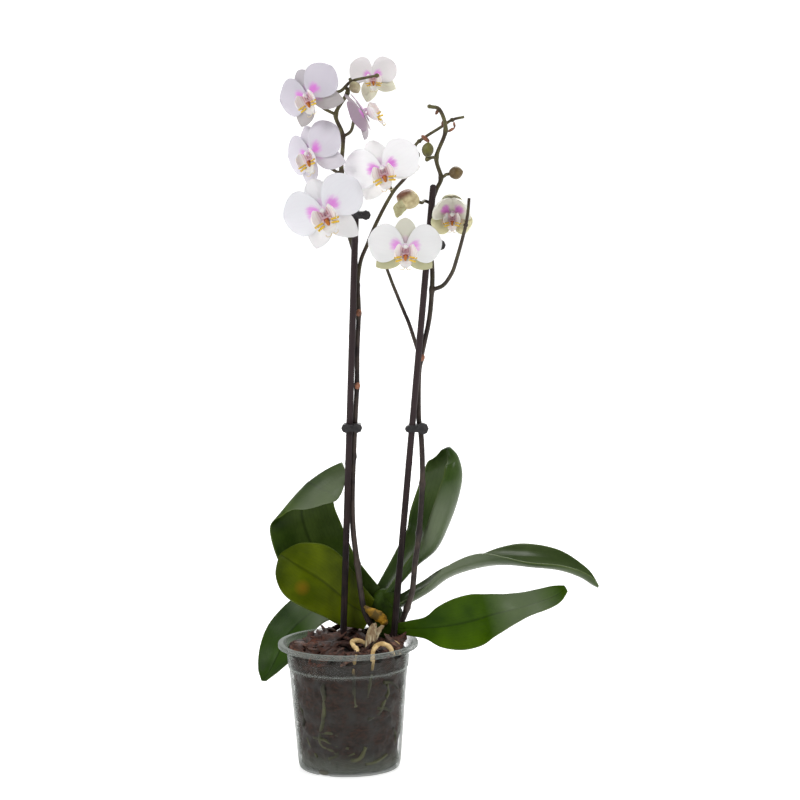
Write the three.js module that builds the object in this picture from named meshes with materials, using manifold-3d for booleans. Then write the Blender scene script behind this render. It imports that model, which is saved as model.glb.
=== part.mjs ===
// A moth orchid with two flower spikes in a clear plastic grow pot.
// Millimetres, +Z up. The origin is the centre of the pot's flat underside, +X is to the right
// and +Y away from the side that the flowers face.

import * as THREE from 'three';
import { mergeVertices } from 'three/addons/utils/BufferGeometryUtils.js';
import Module from 'manifold-3d';

const wasm = await Module();
wasm.setup();

const { Vector3 } = THREE;
const degrees = THREE.MathUtils.degToRad;

// ---------------------------------------------------------------- driving dimensions

const GAP = 0.3; // clearance between neighbouring pieces

// Pot: a 12 cm grow pot.
const RIM_RADIUS = 60;
const POT_HEIGHT = 109;
const POT_WALL = 1;
const LIP_HEIGHT = 3.6;
const MOUTH_RADIUS = 55.4;
const BAND_TOP_RADIUS = 52.6;
const STEP_HEIGHT = 87.5;
const STEP_WIDTH = 0.8;
const FOOT_RADIUS = 44;
const FOOT_CORNER = 4;
const DRAIN_COUNT = 3;
const DRAIN_FIRST_ANGLE = -121; // degrees from +X, to the front left
const DRAIN_WIDTH = 12.4;
const DRAIN_TOP = 5.2;
const DRAIN_DEPTH = 8;
const POT_SIDES = 32;

// Bark: the level at the wall and the mound under the plant.
const BARK_LEVEL = 101;
const MOUND_HEIGHT = 8;
const MOUND_RADIUS = 36;
const MOUND_CENTRE = { x: -4, y: 28 };
const CHIP_COUNT = 16;
const CHIP_LENGTH = 21;

// Crown: the short stem that every leaf and spike grows from.
const CROWN_CENTRE = { x: 32.5, y: 24 };
const CROWN_FOOT = 98;
const CROWN_TOP = 150;
const CROWN_WIDTH = 28;
const CROWN_DEPTH = 18;

const LEAF_THICKNESS = 1.8;
const STAKE_RADIUS = 2.8;
const SPIKE_RADIUS = 2.6;
const SPIKE_TIP_RADIUS = 1.6;
const STALK_RADIUS = 1.4;
const ROOT_RADIUS = 2.1;

// Flower of scale 1, 64 mm across the petals.
const PETAL = { length: 33, width: 34, claw: 2.2, fullness: 0.55, swell: 1.1, steps: 5, across: 4 };
const SIDE_SEPAL = { length: 32, width: 20, claw: 2.2, fullness: 0.7, swell: 0.9, steps: 4, across: 2 };
const TOP_SEPAL = { ...SIDE_SEPAL, length: 26, fullness: 0.5 };
const TEPAL_THICKNESS = 0.9;
const PETAL_LAYER = 1.0;
const SEPAL_LAYER = -1.2;
const HUB_RADIUS = 3.6;
const NECK_LENGTH = 4;
const NECK_RADIUS = 1.5;

// ---------------------------------------------------------------- closed bodies

// A manifold solid of a three.js geometry, whichever way round its faces were listed.
function solid(geometry) {
  const bare = geometry.clone();
  bare.deleteAttribute('normal');
  bare.deleteAttribute('uv');
  const merged = mergeVertices(bare, 1e-4);
  const position = merged.attributes.position;
  const corner = [new Vector3(), new Vector3(), new Vector3()];
  const triVerts = Uint32Array.from(merged.index.array);
  let volume = 0;
  for (let i = 0; i < triVerts.length; i += 3) {
    corner.forEach((point, k) => point.fromBufferAttribute(position, triVerts[i + k]));
    volume += corner[0].dot(corner[1].clone().cross(corner[2]));
  }
  if (volume < 0) {
    for (let i = 0; i < triVerts.length; i += 3) {
      [triVerts[i + 1], triVerts[i + 2]] = [triVerts[i + 2], triVerts[i + 1]];
    }
  }
  const vertProperties = Float32Array.from(position.array);
  return new wasm.Manifold(new wasm.Mesh({ numProp: 3, vertProperties, triVerts }));
}

function join(solids) {
  return solids.reduce((sum, next) => sum.add(next));
}

function cut(body, tools) {
  return tools.reduce((left, tool) => left.subtract(tool), body);
}

// The named mesh of a solid.
function mesh(name, body, { color, roughness }) {
  const { vertProperties, triVerts } = body.getMesh();
  const geometry = new THREE.BufferGeometry();
  geometry.setAttribute('position', new THREE.BufferAttribute(Float32Array.from(vertProperties), 3));
  geometry.setIndex(new THREE.BufferAttribute(Uint32Array.from(triVerts), 1));
  geometry.computeVertexNormals();
  const material = new THREE.MeshStandardMaterial({ color, roughness, metalness: 0 });
  const result = new THREE.Mesh(geometry, material);
  result.name = name;
  return result;
}

// A body through rings of equally many points, flat across both ends. The first half of a ring
// and the second are split along opposite diagonals, so a blade's two faces match.
function loft(rings) {
  const count = rings[0].length;
  const index = [];
  const quad = (a, b, c, d) => index.push(a, b, c, a, c, d);
  for (let ring = 0; ring < rings.length - 1; ring += 1) {
    for (let i = 0; i < count; i += 1) {
      const a = ring * count + i;
      const b = ring * count + ((i + 1) % count);
      if (i < count / 2) quad(a, b, b + count, a + count);
      else quad(b, b + count, a + count, a);
    }
  }
  const last = (rings.length - 1) * count;
  for (let i = 0; i < count / 2 - 1; i += 1) {
    const across = [i, i + 1, count - 2 - i, count - 1 - i];
    quad(...across.toReversed());
    quad(...across.map((k) => last + k));
  }
  const geometry = new THREE.BufferGeometry();
  const numbers = rings.flat().flatMap((point) => point.toArray());
  geometry.setAttribute('position', new THREE.Float32BufferAttribute(numbers, 3));
  geometry.setIndex(index);
  return solid(geometry);
}

// A rod from one radius to another, with a ring of an even number of sides at each point of its
// route. Each ring lies across the smooth curve through those points.
function rod(route, startRadius, endRadius, sides = 6) {
  const centres = points(route);
  const curve = new THREE.CatmullRomCurve3(centres);
  const normal = new Vector3(0.9, 0.4, 0.1); // turned square to the route at each ring
  const rings = centres.map((centre, i) => {
    const along = i / (centres.length - 1);
    const tangent = curve.getTangent(along);
    const radius = THREE.MathUtils.lerp(startRadius, endRadius, along);
    normal.addScaledVector(tangent, -normal.dot(tangent)).normalize();
    const across = tangent.cross(normal);
    return Array.from({ length: sides }, (_, k) => {
      const angle = (2 * Math.PI * k) / sides;
      return centre.clone()
        .addScaledVector(normal, radius * Math.cos(angle))
        .addScaledVector(across, radius * Math.sin(angle));
    });
  });
  return loft(rings);
}

// A thin blade: face(s, u, offset) is a point s along it, u across it (-1 to 1), offset from
// its middle surface. The spacing turns equal steps into places along it.
function blade(face, steps, across, thickness, spacing) {
  const half = thickness / 2;
  const rings = Array.from({ length: steps + 1 }, (_, i) => {
    const s = spacing(i / steps);
    const edge = Array.from({ length: across + 1 }, (_unused, k) => (2 * k) / across - 1);
    const front = edge.map((u) => face(s, u, half));
    const back = edge.map((u) => face(s, u, -half));
    return [...front, ...back.reverse()];
  });
  return loft(rings);
}

const evenly = (part) => part;
const closerToTip = (part) => Math.sin((Math.PI / 2) * part);

// A leaf-like ribbon. Each row is [x, y, z, half width, turn, lean]: a point of the midrib and
// the way to the u = 1 margin there, turned from +X towards +Z and leant towards +Y (degrees).
// Each half of its section is an arc, curling by the angles in curl towards the blade's face.
function ribbon(rows, curl, thickness, steps, across) {
  const uniform = (list) => new THREE.CatmullRomCurve3(list, false, 'catmullrom');
  const spine = uniform(points(rows));
  const shape = uniform(
    rows.map(([, , , width, turn, lean]) => new Vector3(width, degrees(turn), degrees(lean))),
  );
  const face = (s, u, offset) => {
    const { x: width, y: turn, z: lean } = shape.getPoint(s);
    const tangent = spine.getTangent(s);
    const side = new Vector3(Math.cos(turn), 0, Math.sin(turn));
    side.multiplyScalar(Math.cos(lean)).setY(Math.sin(lean));
    const up = tangent.cross(side).normalize();
    const bend = u < 0 ? curl[0] : curl[1];
    const angle = bend * Math.abs(u);
    const out = Math.sign(u) * ((width * Math.sin(angle)) / bend - offset * Math.sin(angle));
    const rise = (width * (1 - Math.cos(angle))) / bend + offset * Math.cos(angle);
    return spine.getPoint(s).addScaledVector(side, out).addScaledVector(up, rise);
  };
  return blade(face, steps, across, thickness, evenly);
}

function ball(radius, centre, stretch = [1, 1, 1], sides = 6) {
  const geometry = new THREE.SphereGeometry(radius, sides, Math.ceil(sides * 0.75));
  geometry.scale(...stretch).translate(...centre);
  return solid(geometry);
}

function points(rows) {
  return rows.map(([x, y, z]) => new Vector3(x, y, z));
}

// Seeded random numbers from 0 to 1.
function randomSource(seed) {
  let state = seed;
  return () => {
    state = (state * 16807) % 2147483647;
    return state / 2147483647;
  };
}

// ---------------------------------------------------------------- pot and bark

// The wall's outer radius at a height below the step.
function wallRadius(height) {
  const topRadius = BAND_TOP_RADIUS - 1 - STEP_WIDTH;
  return THREE.MathUtils.mapLinear(height, FOOT_CORNER, STEP_HEIGHT, FOOT_RADIUS, topRadius);
}

function potSolid() {
  const bandFoot = BAND_TOP_RADIUS - 1;
  const flange = POT_HEIGHT - LIP_HEIGHT;
  const outside = [
    [0, 0],
    [FOOT_RADIUS - 3, 0],
    [FOOT_RADIUS - 0.9, 1.2],
    [FOOT_RADIUS, FOOT_CORNER],
    [wallRadius(STEP_HEIGHT), STEP_HEIGHT],
    [bandFoot, STEP_HEIGHT + STEP_WIDTH],
    [BAND_TOP_RADIUS, flange - 2],
    [RIM_RADIUS, flange],
    [RIM_RADIUS, POT_HEIGHT - 0.8],
    [RIM_RADIUS - 0.8, POT_HEIGHT],
  ];
  const inside = [
    [MOUTH_RADIUS, POT_HEIGHT],
    [BAND_TOP_RADIUS - POT_WALL, flange - 2],
    [bandFoot - POT_WALL, STEP_HEIGHT + STEP_WIDTH + 0.4],
    [wallRadius(STEP_HEIGHT) - POT_WALL, STEP_HEIGHT - 0.4],
    [FOOT_RADIUS - POT_WALL, FOOT_CORNER],
    [FOOT_RADIUS - 3, POT_WALL + 0.2],
    [0, POT_WALL + 0.2],
  ];
  const profile = [...outside, ...inside].map(([r, z]) => new THREE.Vector2(r, z));
  const shell = new THREE.LatheGeometry(profile, POT_SIDES).rotateX(Math.PI / 2);
  const drains = Array.from({ length: DRAIN_COUNT }, (_, i) => {
    const angle = degrees(DRAIN_FIRST_ANGLE + (360 * i) / DRAIN_COUNT);
    const notch = new THREE.BoxGeometry(DRAIN_DEPTH, DRAIN_WIDTH, 2 * DRAIN_TOP); // from below
    notch.translate(FOOT_RADIUS, 0, 0).rotateZ(angle);
    return solid(notch);
  });
  return cut(solid(shell), drains);
}

// The height of the bark's surface, without its chips.
function barkHeight(x, y) {
  const away = Math.hypot(x - MOUND_CENTRE.x, y - MOUND_CENTRE.y) / MOUND_RADIUS;
  return BARK_LEVEL + MOUND_HEIGHT * Math.exp(-away * away);
}

// The bark fills the pot, with a rough mound of chips on top.
function barkSolid() {
  const clear = POT_WALL + 0.4;
  const floor = POT_WALL + 0.2 + GAP;
  const profile = [
    [0, floor],
    [FOOT_RADIUS - 4.2, floor],
    [FOOT_RADIUS - clear, FOOT_CORNER],
    [wallRadius(STEP_HEIGHT) - clear, STEP_HEIGHT - 1],
    [BAND_TOP_RADIUS - 1 - clear, STEP_HEIGHT + 2.2],
    [BAND_TOP_RADIUS - 0.4 - clear, BARK_LEVEL],
    [34, BARK_LEVEL],
    [16, BARK_LEVEL],
    [0, BARK_LEVEL],
  ].map(([r, z]) => new THREE.Vector2(r, z));
  const body = new THREE.LatheGeometry(profile, 20).rotateX(Math.PI / 2);
  const position = body.attributes.position;
  for (let i = 0; i < position.count; i += 1) {
    if (Math.abs(position.getZ(i) - BARK_LEVEL) < 1e-3) {
      position.setZ(i, barkHeight(position.getX(i), position.getY(i)));
    }
  }
  return join([solid(body), ...barkChips()]);
}

// Chips of bark, half sunk in the surface, in rings so that they cover it evenly.
function barkChips() {
  const random = randomSource(7);
  return Array.from({ length: CHIP_COUNT }, (_, i) => {
    const reach = 40 * Math.sqrt((i + 0.5) / CHIP_COUNT);
    const angle = i * 2.4;
    const [x, y] = [reach * Math.cos(angle), reach * Math.sin(angle)];
    const length = CHIP_LENGTH * (0.6 + 0.6 * random());
    const chip = new THREE.BoxGeometry(length, length * 0.5, length * 0.32);
    chip.rotateY((random() - 0.5) * 0.8).rotateX((random() - 0.5) * 0.8);
    chip.rotateZ(random() * Math.PI).translate(x, y, barkHeight(x, y) + 0.8);
    return solid(chip);
  });
}

// ---------------------------------------------------------------- crown and roots

// The crown, or the same shape grown by a clearance.
function crownSolid(clearance = 0) {
  const height = CROWN_TOP - CROWN_FOOT;
  const profile = [
    [0, -clearance],
    [0.62, -clearance],
    [0.8, 0.2 * height],
    [1, 0.5 * height],
    [0.98, 0.72 * height],
    [0.76, 0.88 * height],
    [0.36, height + clearance],
    [0, height + clearance],
  ];
  const half = CROWN_WIDTH / 2;
  const grown = (r) => (r === 0 ? 0 : r * half + clearance * 1.4);
  const geometry = new THREE.LatheGeometry(profile.map(([r, z]) => new THREE.Vector2(grown(r), z)), 14);
  geometry.rotateX(Math.PI / 2).scale(1, CROWN_DEPTH / CROWN_WIDTH, 1);
  geometry.translate(CROWN_CENTRE.x, CROWN_CENTRE.y, CROWN_FOOT);
  return solid(geometry);
}

// A point of a root that runs down the front of the pot's wall.
function onWall(x, height) {
  const reach = wallRadius(height) - POT_WALL - ROOT_RADIUS - 0.8;
  return [x, -Math.sqrt(reach * reach - x * x), height];
}

// Roots leave a knot under the crown. Two come out on the bark in front and run down the wall,
// one lies on the bark to the right, and one runs down inside to the left of the pot.
const ROOT_KNOT = [30, 20, 92];
const ROOT_KNOT_RADIUS = 5;
const ROOTS = [
  [ROOT_KNOT, [38, -4, 96], [38, -30, 106], [34.5, -36, 112.5], [27.5, -36.5, 114.5],
    [22, -38.5, 109.5], onWall(21, 99), onWall(19, 86), onWall(16, 70)],
  [ROOT_KNOT, [20, 4, 100], [11, -8, 110.5], [4, -14, 112], [5, -23, 110], [8, -31, 108],
    [6, -39, 104], onWall(5, 95), onWall(5, 80), onWall(6, 62)],
  [ROOT_KNOT, [33, 4, 103], [36, -8, 110], [43, -16, 107.5], [43, -17, 94], [36, -24, 78],
    onWall(30, 64), onWall(26, 55), onWall(16, 50)],
  [ROOT_KNOT, [0, -6, 86], onWall(-20, 82), onWall(-20, 68), onWall(-21, 50), onWall(-24, 30),
    onWall(-14, 23), onWall(2, 15), onWall(10, 17), onWall(14, 26)],
];

function rootsSolid(clearance = 0) {
  const radius = ROOT_RADIUS + clearance;
  const rods = ROOTS.map((route) => rod(route, radius, radius * 0.9));
  return join([ball(ROOT_KNOT_RADIUS + clearance, ROOT_KNOT), ...rods]);
}

// ---------------------------------------------------------------- leaves

const LEAVES = {
  // Rises to the upper left and folds over towards the front, its tip to the right.
  leaf_1: {
    curl: [0.35, 0.35],
    steps: 15,
    across: 4,
    rows: [
      [22, 26, 138, 14, 243, 0],
      [3, 31, 149, 21, 230, 0],
      [-13, 36, 161, 26, 216, 0],
      [-26, 41, 176, 31, 208, 0],
      [-33, 44, 190, 32, 205, 0],
      [-39, 47, 210, 31, 204, 0],
      [-38, 43, 228, 33, 213, 0],
      [-34, 33, 240, 35, 221, 0],
      [-28, 24, 241, 31, 220, 0],
      [-20.5, 18, 238, 25, 219, 0],
      [-12.5, 11, 236, 14.5, 222, 0],
      [-9, 8, 233, 7, 222, 0],
      [-8, 7, 231, 2, 222, 0],
    ],
  },
  // Broad, low and to the left, in front of leaf 1.
  leaf_2: {
    curl: [0.25, 0.25],
    steps: 10,
    across: 4,
    rows: [
      [20, 22, 126, 13, 240, 0],
      [3, 21, 136, 20, 236, 0],
      [-6.5, 20.5, 145, 23, 234, 0],
      [-20.5, 20.5, 157, 28, 234, 0],
      [-33, 22.5, 165, 29, 233, 0],
      [-43, 26, 170.5, 25, 233, 0],
      [-52, 30, 176, 16, 233, 0],
      [-58, 33, 179, 2, 233, 0],
    ],
  },
  // Arches to the left behind the pot and hangs down beside it.
  leaf_3: {
    curl: [0.4, 0.4],
    steps: 11,
    across: 4,
    rows: [
      [28, 26, 119, 4, -95, -60],
      [17, 34, 126, 9, -92, -58],
      [0, 48, 129.5, 16, -90, -54],
      [-20, 67, 127, 21.5, -80, -50],
      [-37, 75, 115, 23, -60, -48],
      [-54, 71, 99, 21.5, -36, -42],
      [-62, 67, 83, 19.5, -12, -38],
      [-69, 61.5, 70, 12.5, 5, -36],
      [-74.5, 57, 62, 3, 10, -36],
    ],
  },
  // Stands up on the right as a deep channel, its near half rolled over to the front.
  leaf_4: {
    curl: [2.5, 0.75],
    steps: 11,
    across: 6,
    rows: [
      [31, 28, 140, 12, 130, 40],
      [44, 31, 155, 16, 140, 45],
      [58, 35, 170, 22, 140, 48],
      [74, 37, 184, 31, 150, 52],
      [84, 38, 204, 36, 165, 52],
      [92, 38, 226, 37, 172, 52],
      [96, 37, 247, 34, 178, 50],
      [93, 35, 263, 26, 190, 46],
      [88, 33, 271, 8, 200, 42],
    ],
  },
  // Long and folded along its keel, arching to the far right.
  leaf_5: {
    curl: [1.3, 1.3],
    steps: 12,
    across: 4,
    rows: [
      [34, 26, 126, 9, 90, 80],
      [44, 26, 133, 11, 90, 76],
      [55, 26, 138.5, 12, 90, 76],
      [71, 23.5, 148, 13.5, 90, 82],
      [88, 19, 161, 15.5, 90, 100],
      [112, 13, 170, 18, 90, 106],
      [136, 7, 174, 19, 90, 82],
      [156, 1, 175, 19, 90, 66],
      [179, -5, 173, 17, 90, 68],
      [198, -9, 166, 13, 90, 80],
      [208, -12, 160, 9, 90, 88],
      [214, -14, 157, 2, 90, 90],
    ],
  },
  // Low on the right, broad side to the front, with a half twist before its tip.
  leaf_6: {
    curl: [0.3, 0.3],
    steps: 12,
    across: 4,
    rows: [
      [42, 11.5, 117, 5, 90, 0],
      [54, 11, 117.5, 7, 90, 0],
      [67, 9, 118, 10, 92, 0],
      [79, 6, 119.5, 18, 96, 0],
      [95, 1, 123, 23, 100, 0],
      [111, -5, 128, 23, 102, 4],
      [124, -10, 133, 18.5, 103, 15],
      [138, -16, 137.5, 16, 105, 40],
      [152, -21, 142, 17, 108, 62],
      [168, -26, 148, 15, 112, 64],
      [179, -29, 153.5, 11, 116, 58],
      [186, -31, 159, 4, 120, 50],
    ],
  },
};

function leafSolid({ rows, curl, steps, across }) {
  return cut(ribbon(rows, curl, LEAF_THICKNESS, steps, across), [crownSolid(GAP)]);
}

// The withered yellow leaf and the dry sheath at the foot of the plant.
function oldLeafSolid() {
  const rows = [
    [32, 13, 123, 4, 60, 0],
    [27, 9.5, 128, 5, 50, 0],
    [20.5, 7, 132.5, 4, 50, 0],
    [14.5, 6.5, 138, 1, 50, 0],
  ];
  const upper = ribbon(rows, [0.6, 0.6], 1.6, 4, 2);
  const foot = ball(3, [31, 14.5, 122.5], [1.2, 1, 1.2], 6);
  return cut(join([upper, foot]), [crownSolid(GAP)]);
}

function sheathSolid(clearance = 0) {
  const thickness = 1.2 + 2 * clearance;
  const main = [
    [22.5, 10, 122, 2 + clearance, 10, 0],
    [21, 3, 118, 4 + clearance, 5, 0],
    [19.5, -4, 112, 4.5 + clearance, 5, 0],
    [18, -10, 103, 3.5 + clearance, 5, 0],
  ];
  const prong = [
    [30, 8, 120.5, 1.5 + clearance, -20, 0],
    [26.5, 3, 117.5, 2.6 + clearance, -10, 0],
    [23.5, -3, 112, 2.2 + clearance, 0, 0],
    [20, -8, 105, 1.5 + clearance, 0, 0],
  ];
  return join([main, prong].map((rows) => ribbon(rows, [0.5, 0.5], thickness, 4, 2)));
}

// ---------------------------------------------------------------- stakes

const STAKES = {
  left: [[-8.2, 11.5, 16], [11.8, 11.5, 481.5]],
  right: [[29.8, 5, 16], [77.5, 10, 500]],
};

function stakeSolid(ends, clearance = 0) {
  return rod(ends, STAKE_RADIUS + clearance, STAKE_RADIUS + clearance, 8);
}

// ---------------------------------------------------------------- flowers

// Where each flower's heart is, the way it faces (turn to the right, lift up and roll to the
// left, degrees), its size, how far its petals stand up from level, how far its left,
// right and upper sepals are from its top, and the radius of the sphere its tepals bend on:
// behind the flower if negative, so open, and in front if positive, so cupped. The third one's
// lip is longer than the others', and that of the last one, which is half open, is smaller.
const FLOWERS = [
  {
    at: [-26, -13, 578], turn: -26, lift: 0, roll: 30, size: 0.96,
    petals: 22, sepals: [128, 128, 0], sphere: -65,
  },
  {
    at: [27, 19, 590.5], turn: 8, lift: 8, roll: 0, size: 0.7,
    petals: 30, sepals: [165, 120, 48], sphere: 45,
  },
  {
    at: [18.5, 2, 561.5], turn: 80, lift: 30, roll: 10, size: 0.86,
    petals: 10, sepals: [130, 130, 0], sphere: -70, lip: 1.2,
  },
  {
    at: [-24.5, -5, 528.5], turn: -38, lift: 0, roll: 28, size: 1,
    petals: 20, sepals: [130, 130, 0], sphere: -65,
  },
  {
    at: [-14.5, -18, 482], turn: -8, lift: 0, roll: 26, size: 1.15,
    petals: 16, sepals: [139, 156, 0], sphere: -70,
  },
  {
    at: [35, -10, 516], turn: -4, lift: 2, roll: 16, size: 1.02,
    petals: 14, sepals: [135, 104, -12], sphere: -70,
  },
  {
    at: [53, -20, 450.5], turn: 3, lift: 2, roll: -2, size: 0.98,
    petals: 10, sepals: [127, 127, 0], sphere: -60,
  },
  {
    at: [93.5, 14, 474], turn: -4, lift: 0, roll: 0, size: 1.02,
    petals: 38, sepals: [127, 127, 0], sphere: 17, lip: 0.74,
  },
];

// A point of a tepal, along and across it in the flat, wrapped on the flower's sphere and
// raised by a layer from it. The heading is clockwise from the flower's top.
function onFlower(along, across, heading, layer, sphere) {
  const reach = Math.hypot(along, across) / sphere;
  const direction = heading + Math.atan2(across, along);
  const out = (sphere - layer) * Math.sin(reach);
  const forward = sphere - (sphere - layer) * Math.cos(reach);
  return new Vector3(out * Math.sin(direction), out * Math.cos(direction), forward);
}

// Half the width of a petal or sepal at s along it.
function tepalHalfWidth({ width, claw, fullness, swell }, s) {
  const full = (width / 2) * Math.sin(Math.PI * Math.min(s, 0.999) ** swell) ** fullness;
  return Math.max(full, s < 0.5 ? claw : 0.6);
}

function tepal(form, heading, layer, sphere) {
  const face = (s, u, offset) => {
    const along = 1.2 + s * (form.length - 1.2);
    return onFlower(along, u * tepalHalfWidth(form, s), degrees(heading), layer + offset, sphere);
  };
  return blade(face, form.steps, form.across, TEPAL_THICKNESS, closerToTip);
}

// Petals, sepals, column and the neck behind, in the flower's own frame: +Y to its top and +Z
// the way it faces.
function flowerSolid({ size, petals, sepals, sphere }) {
  const bend = sphere / size;
  const tepals = [
    tepal(TOP_SEPAL, sepals[2], SEPAL_LAYER, bend),
    tepal(SIDE_SEPAL, sepals[1], SEPAL_LAYER, bend),
    tepal(SIDE_SEPAL, -sepals[0], SEPAL_LAYER, bend),
    tepal(PETAL, 90 - petals, PETAL_LAYER, bend),
    tepal(PETAL, petals - 90, PETAL_LAYER, bend),
  ];
  const hub = ball(HUB_RADIUS, [0, 0, -0.3], [1, 1, 0.85]);
  const column = rod([[0, 0.5, 0], [0, 1.6, 3.5], [0, 1, 7]], 2, 1.6);
  const neck = rod([[0, 0, -1], [0, 0, -NECK_LENGTH / size]], 2, NECK_RADIUS / size);
  return join([...tepals, hub, column, neck]).scale(size);
}

// The lip: a forward lobe and two side lobes raised round the column.
function lipSolid({ size, lip = 1 }) {
  const foot = HUB_RADIUS - 0.15; // just clear of the flattened hub
  const [y, z] = [(-0.56 * foot) / lip, (0.83 * foot - 0.3) / lip];
  const forward = [
    [0, y, z, 1.8, 0, 0],
    [0, y - 6, z + 4, 4.2, 0, 0],
    [0, y - 11.5, z + 6.6, 5.4, 0, 0],
    [0, y - 15.5, z + 7, 1.2, 0, 0],
  ];
  const sideLobe = (way) => [
    [way * 0.4, y - 1.4, z + 1.4, 1.4, 0, 90],
    [way * 4.6, y - 1.6, z + 2.6, 6, 0, 90],
    [way * 8.2, y - 1.8, z + 5.4, 7.6, 0, 90],
    [way * 9.6, y - 2, z + 9.4, 4.4, 0, 90],
  ];
  const shell = (way) => ribbon(sideLobe(way), [0.6 * way, 0.6 * way], 1, 3, 2);
  return join([ribbon(forward, [0.6, 0.6], 1, 3, 2), shell(1), shell(-1)]).scale(size * lip);
}

// The frame of a flower, as a group at its heart.
function flowerFrame({ at, turn, lift, roll }) {
  const frame = new THREE.Group();
  frame.position.set(...at);
  frame.rotation.set(degrees(90 - lift), 0, degrees(turn), 'ZXY');
  frame.rotateZ(degrees(roll));
  frame.updateMatrixWorld(true);
  return frame;
}

// The stalk's last points: a straight run into the neck of a flower.
function stalkEnd(flower) {
  const frame = flowerFrame(flower);
  const behind = [-NECK_LENGTH - 4, -NECK_LENGTH - GAP];
  return behind.map((z) => frame.localToWorld(new Vector3(0, 0, z)).toArray());
}

// ---------------------------------------------------------------- buds

// Where each bud's middle is, its radius, its stretch and the way its tip points.
const BUDS = [
  { at: [56, -2, 489], radius: 8.6, long: 1.15, tip: [-1, -0.3, 0.3], sepal: true },
  { at: [96.5, 6, 510], radius: 5.6, long: 1.1, tip: [1, -0.4, 0.2] },
  { at: [73, 3, 530], radius: 5.2, long: 1.25, tip: [0.1, -0.3, 1] },
  { at: [12.5, 0, 583.5], radius: 4.8, long: 1.15, tip: [0.5, -0.4, -0.8] },
];

// A pointed bud in its own frame, tip to +Z. The first one has let down a sepal.
function budSolid({ radius, long, sepal }) {
  const profile = [
    [0, -0.98], [0.3, -0.95], [0.75, -0.6], [1, -0.05], [0.86, 0.45], [0.45, 0.85], [0, 1.08],
  ].map(([r, z]) => new THREE.Vector2(r * radius, z * radius * long));
  const body = solid(new THREE.LatheGeometry(profile, 8).rotateX(Math.PI / 2));
  if (!sepal) return body;
  const hanging = ribbon([
    [2, -5, 3, 3, 90, 0],
    [-4, -6, 5, 5.4, 90, 0],
    [-10, -5, 6, 5.4, 85, 0],
    [-17, -3, 5, 1.2, 80, 0],
  ], [0.4, 0.4], 1, 4, 2);
  return join([body, hanging]);
}

function budFrame({ at, tip }) {
  const frame = new THREE.Group();
  frame.position.set(...at);
  frame.quaternion.setFromUnitVectors(new Vector3(0, 0, 1), new Vector3(...tip).normalize());
  frame.updateMatrixWorld(true);
  return frame;
}

function budStalkEnd(bud) {
  const frame = budFrame(bud);
  const base = -0.98 * bud.radius * bud.long;
  return [base - 3, base - GAP].map((z) => frame.localToWorld(new Vector3(0, 0, z)).toArray());
}

// ---------------------------------------------------------------- flower spikes

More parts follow.
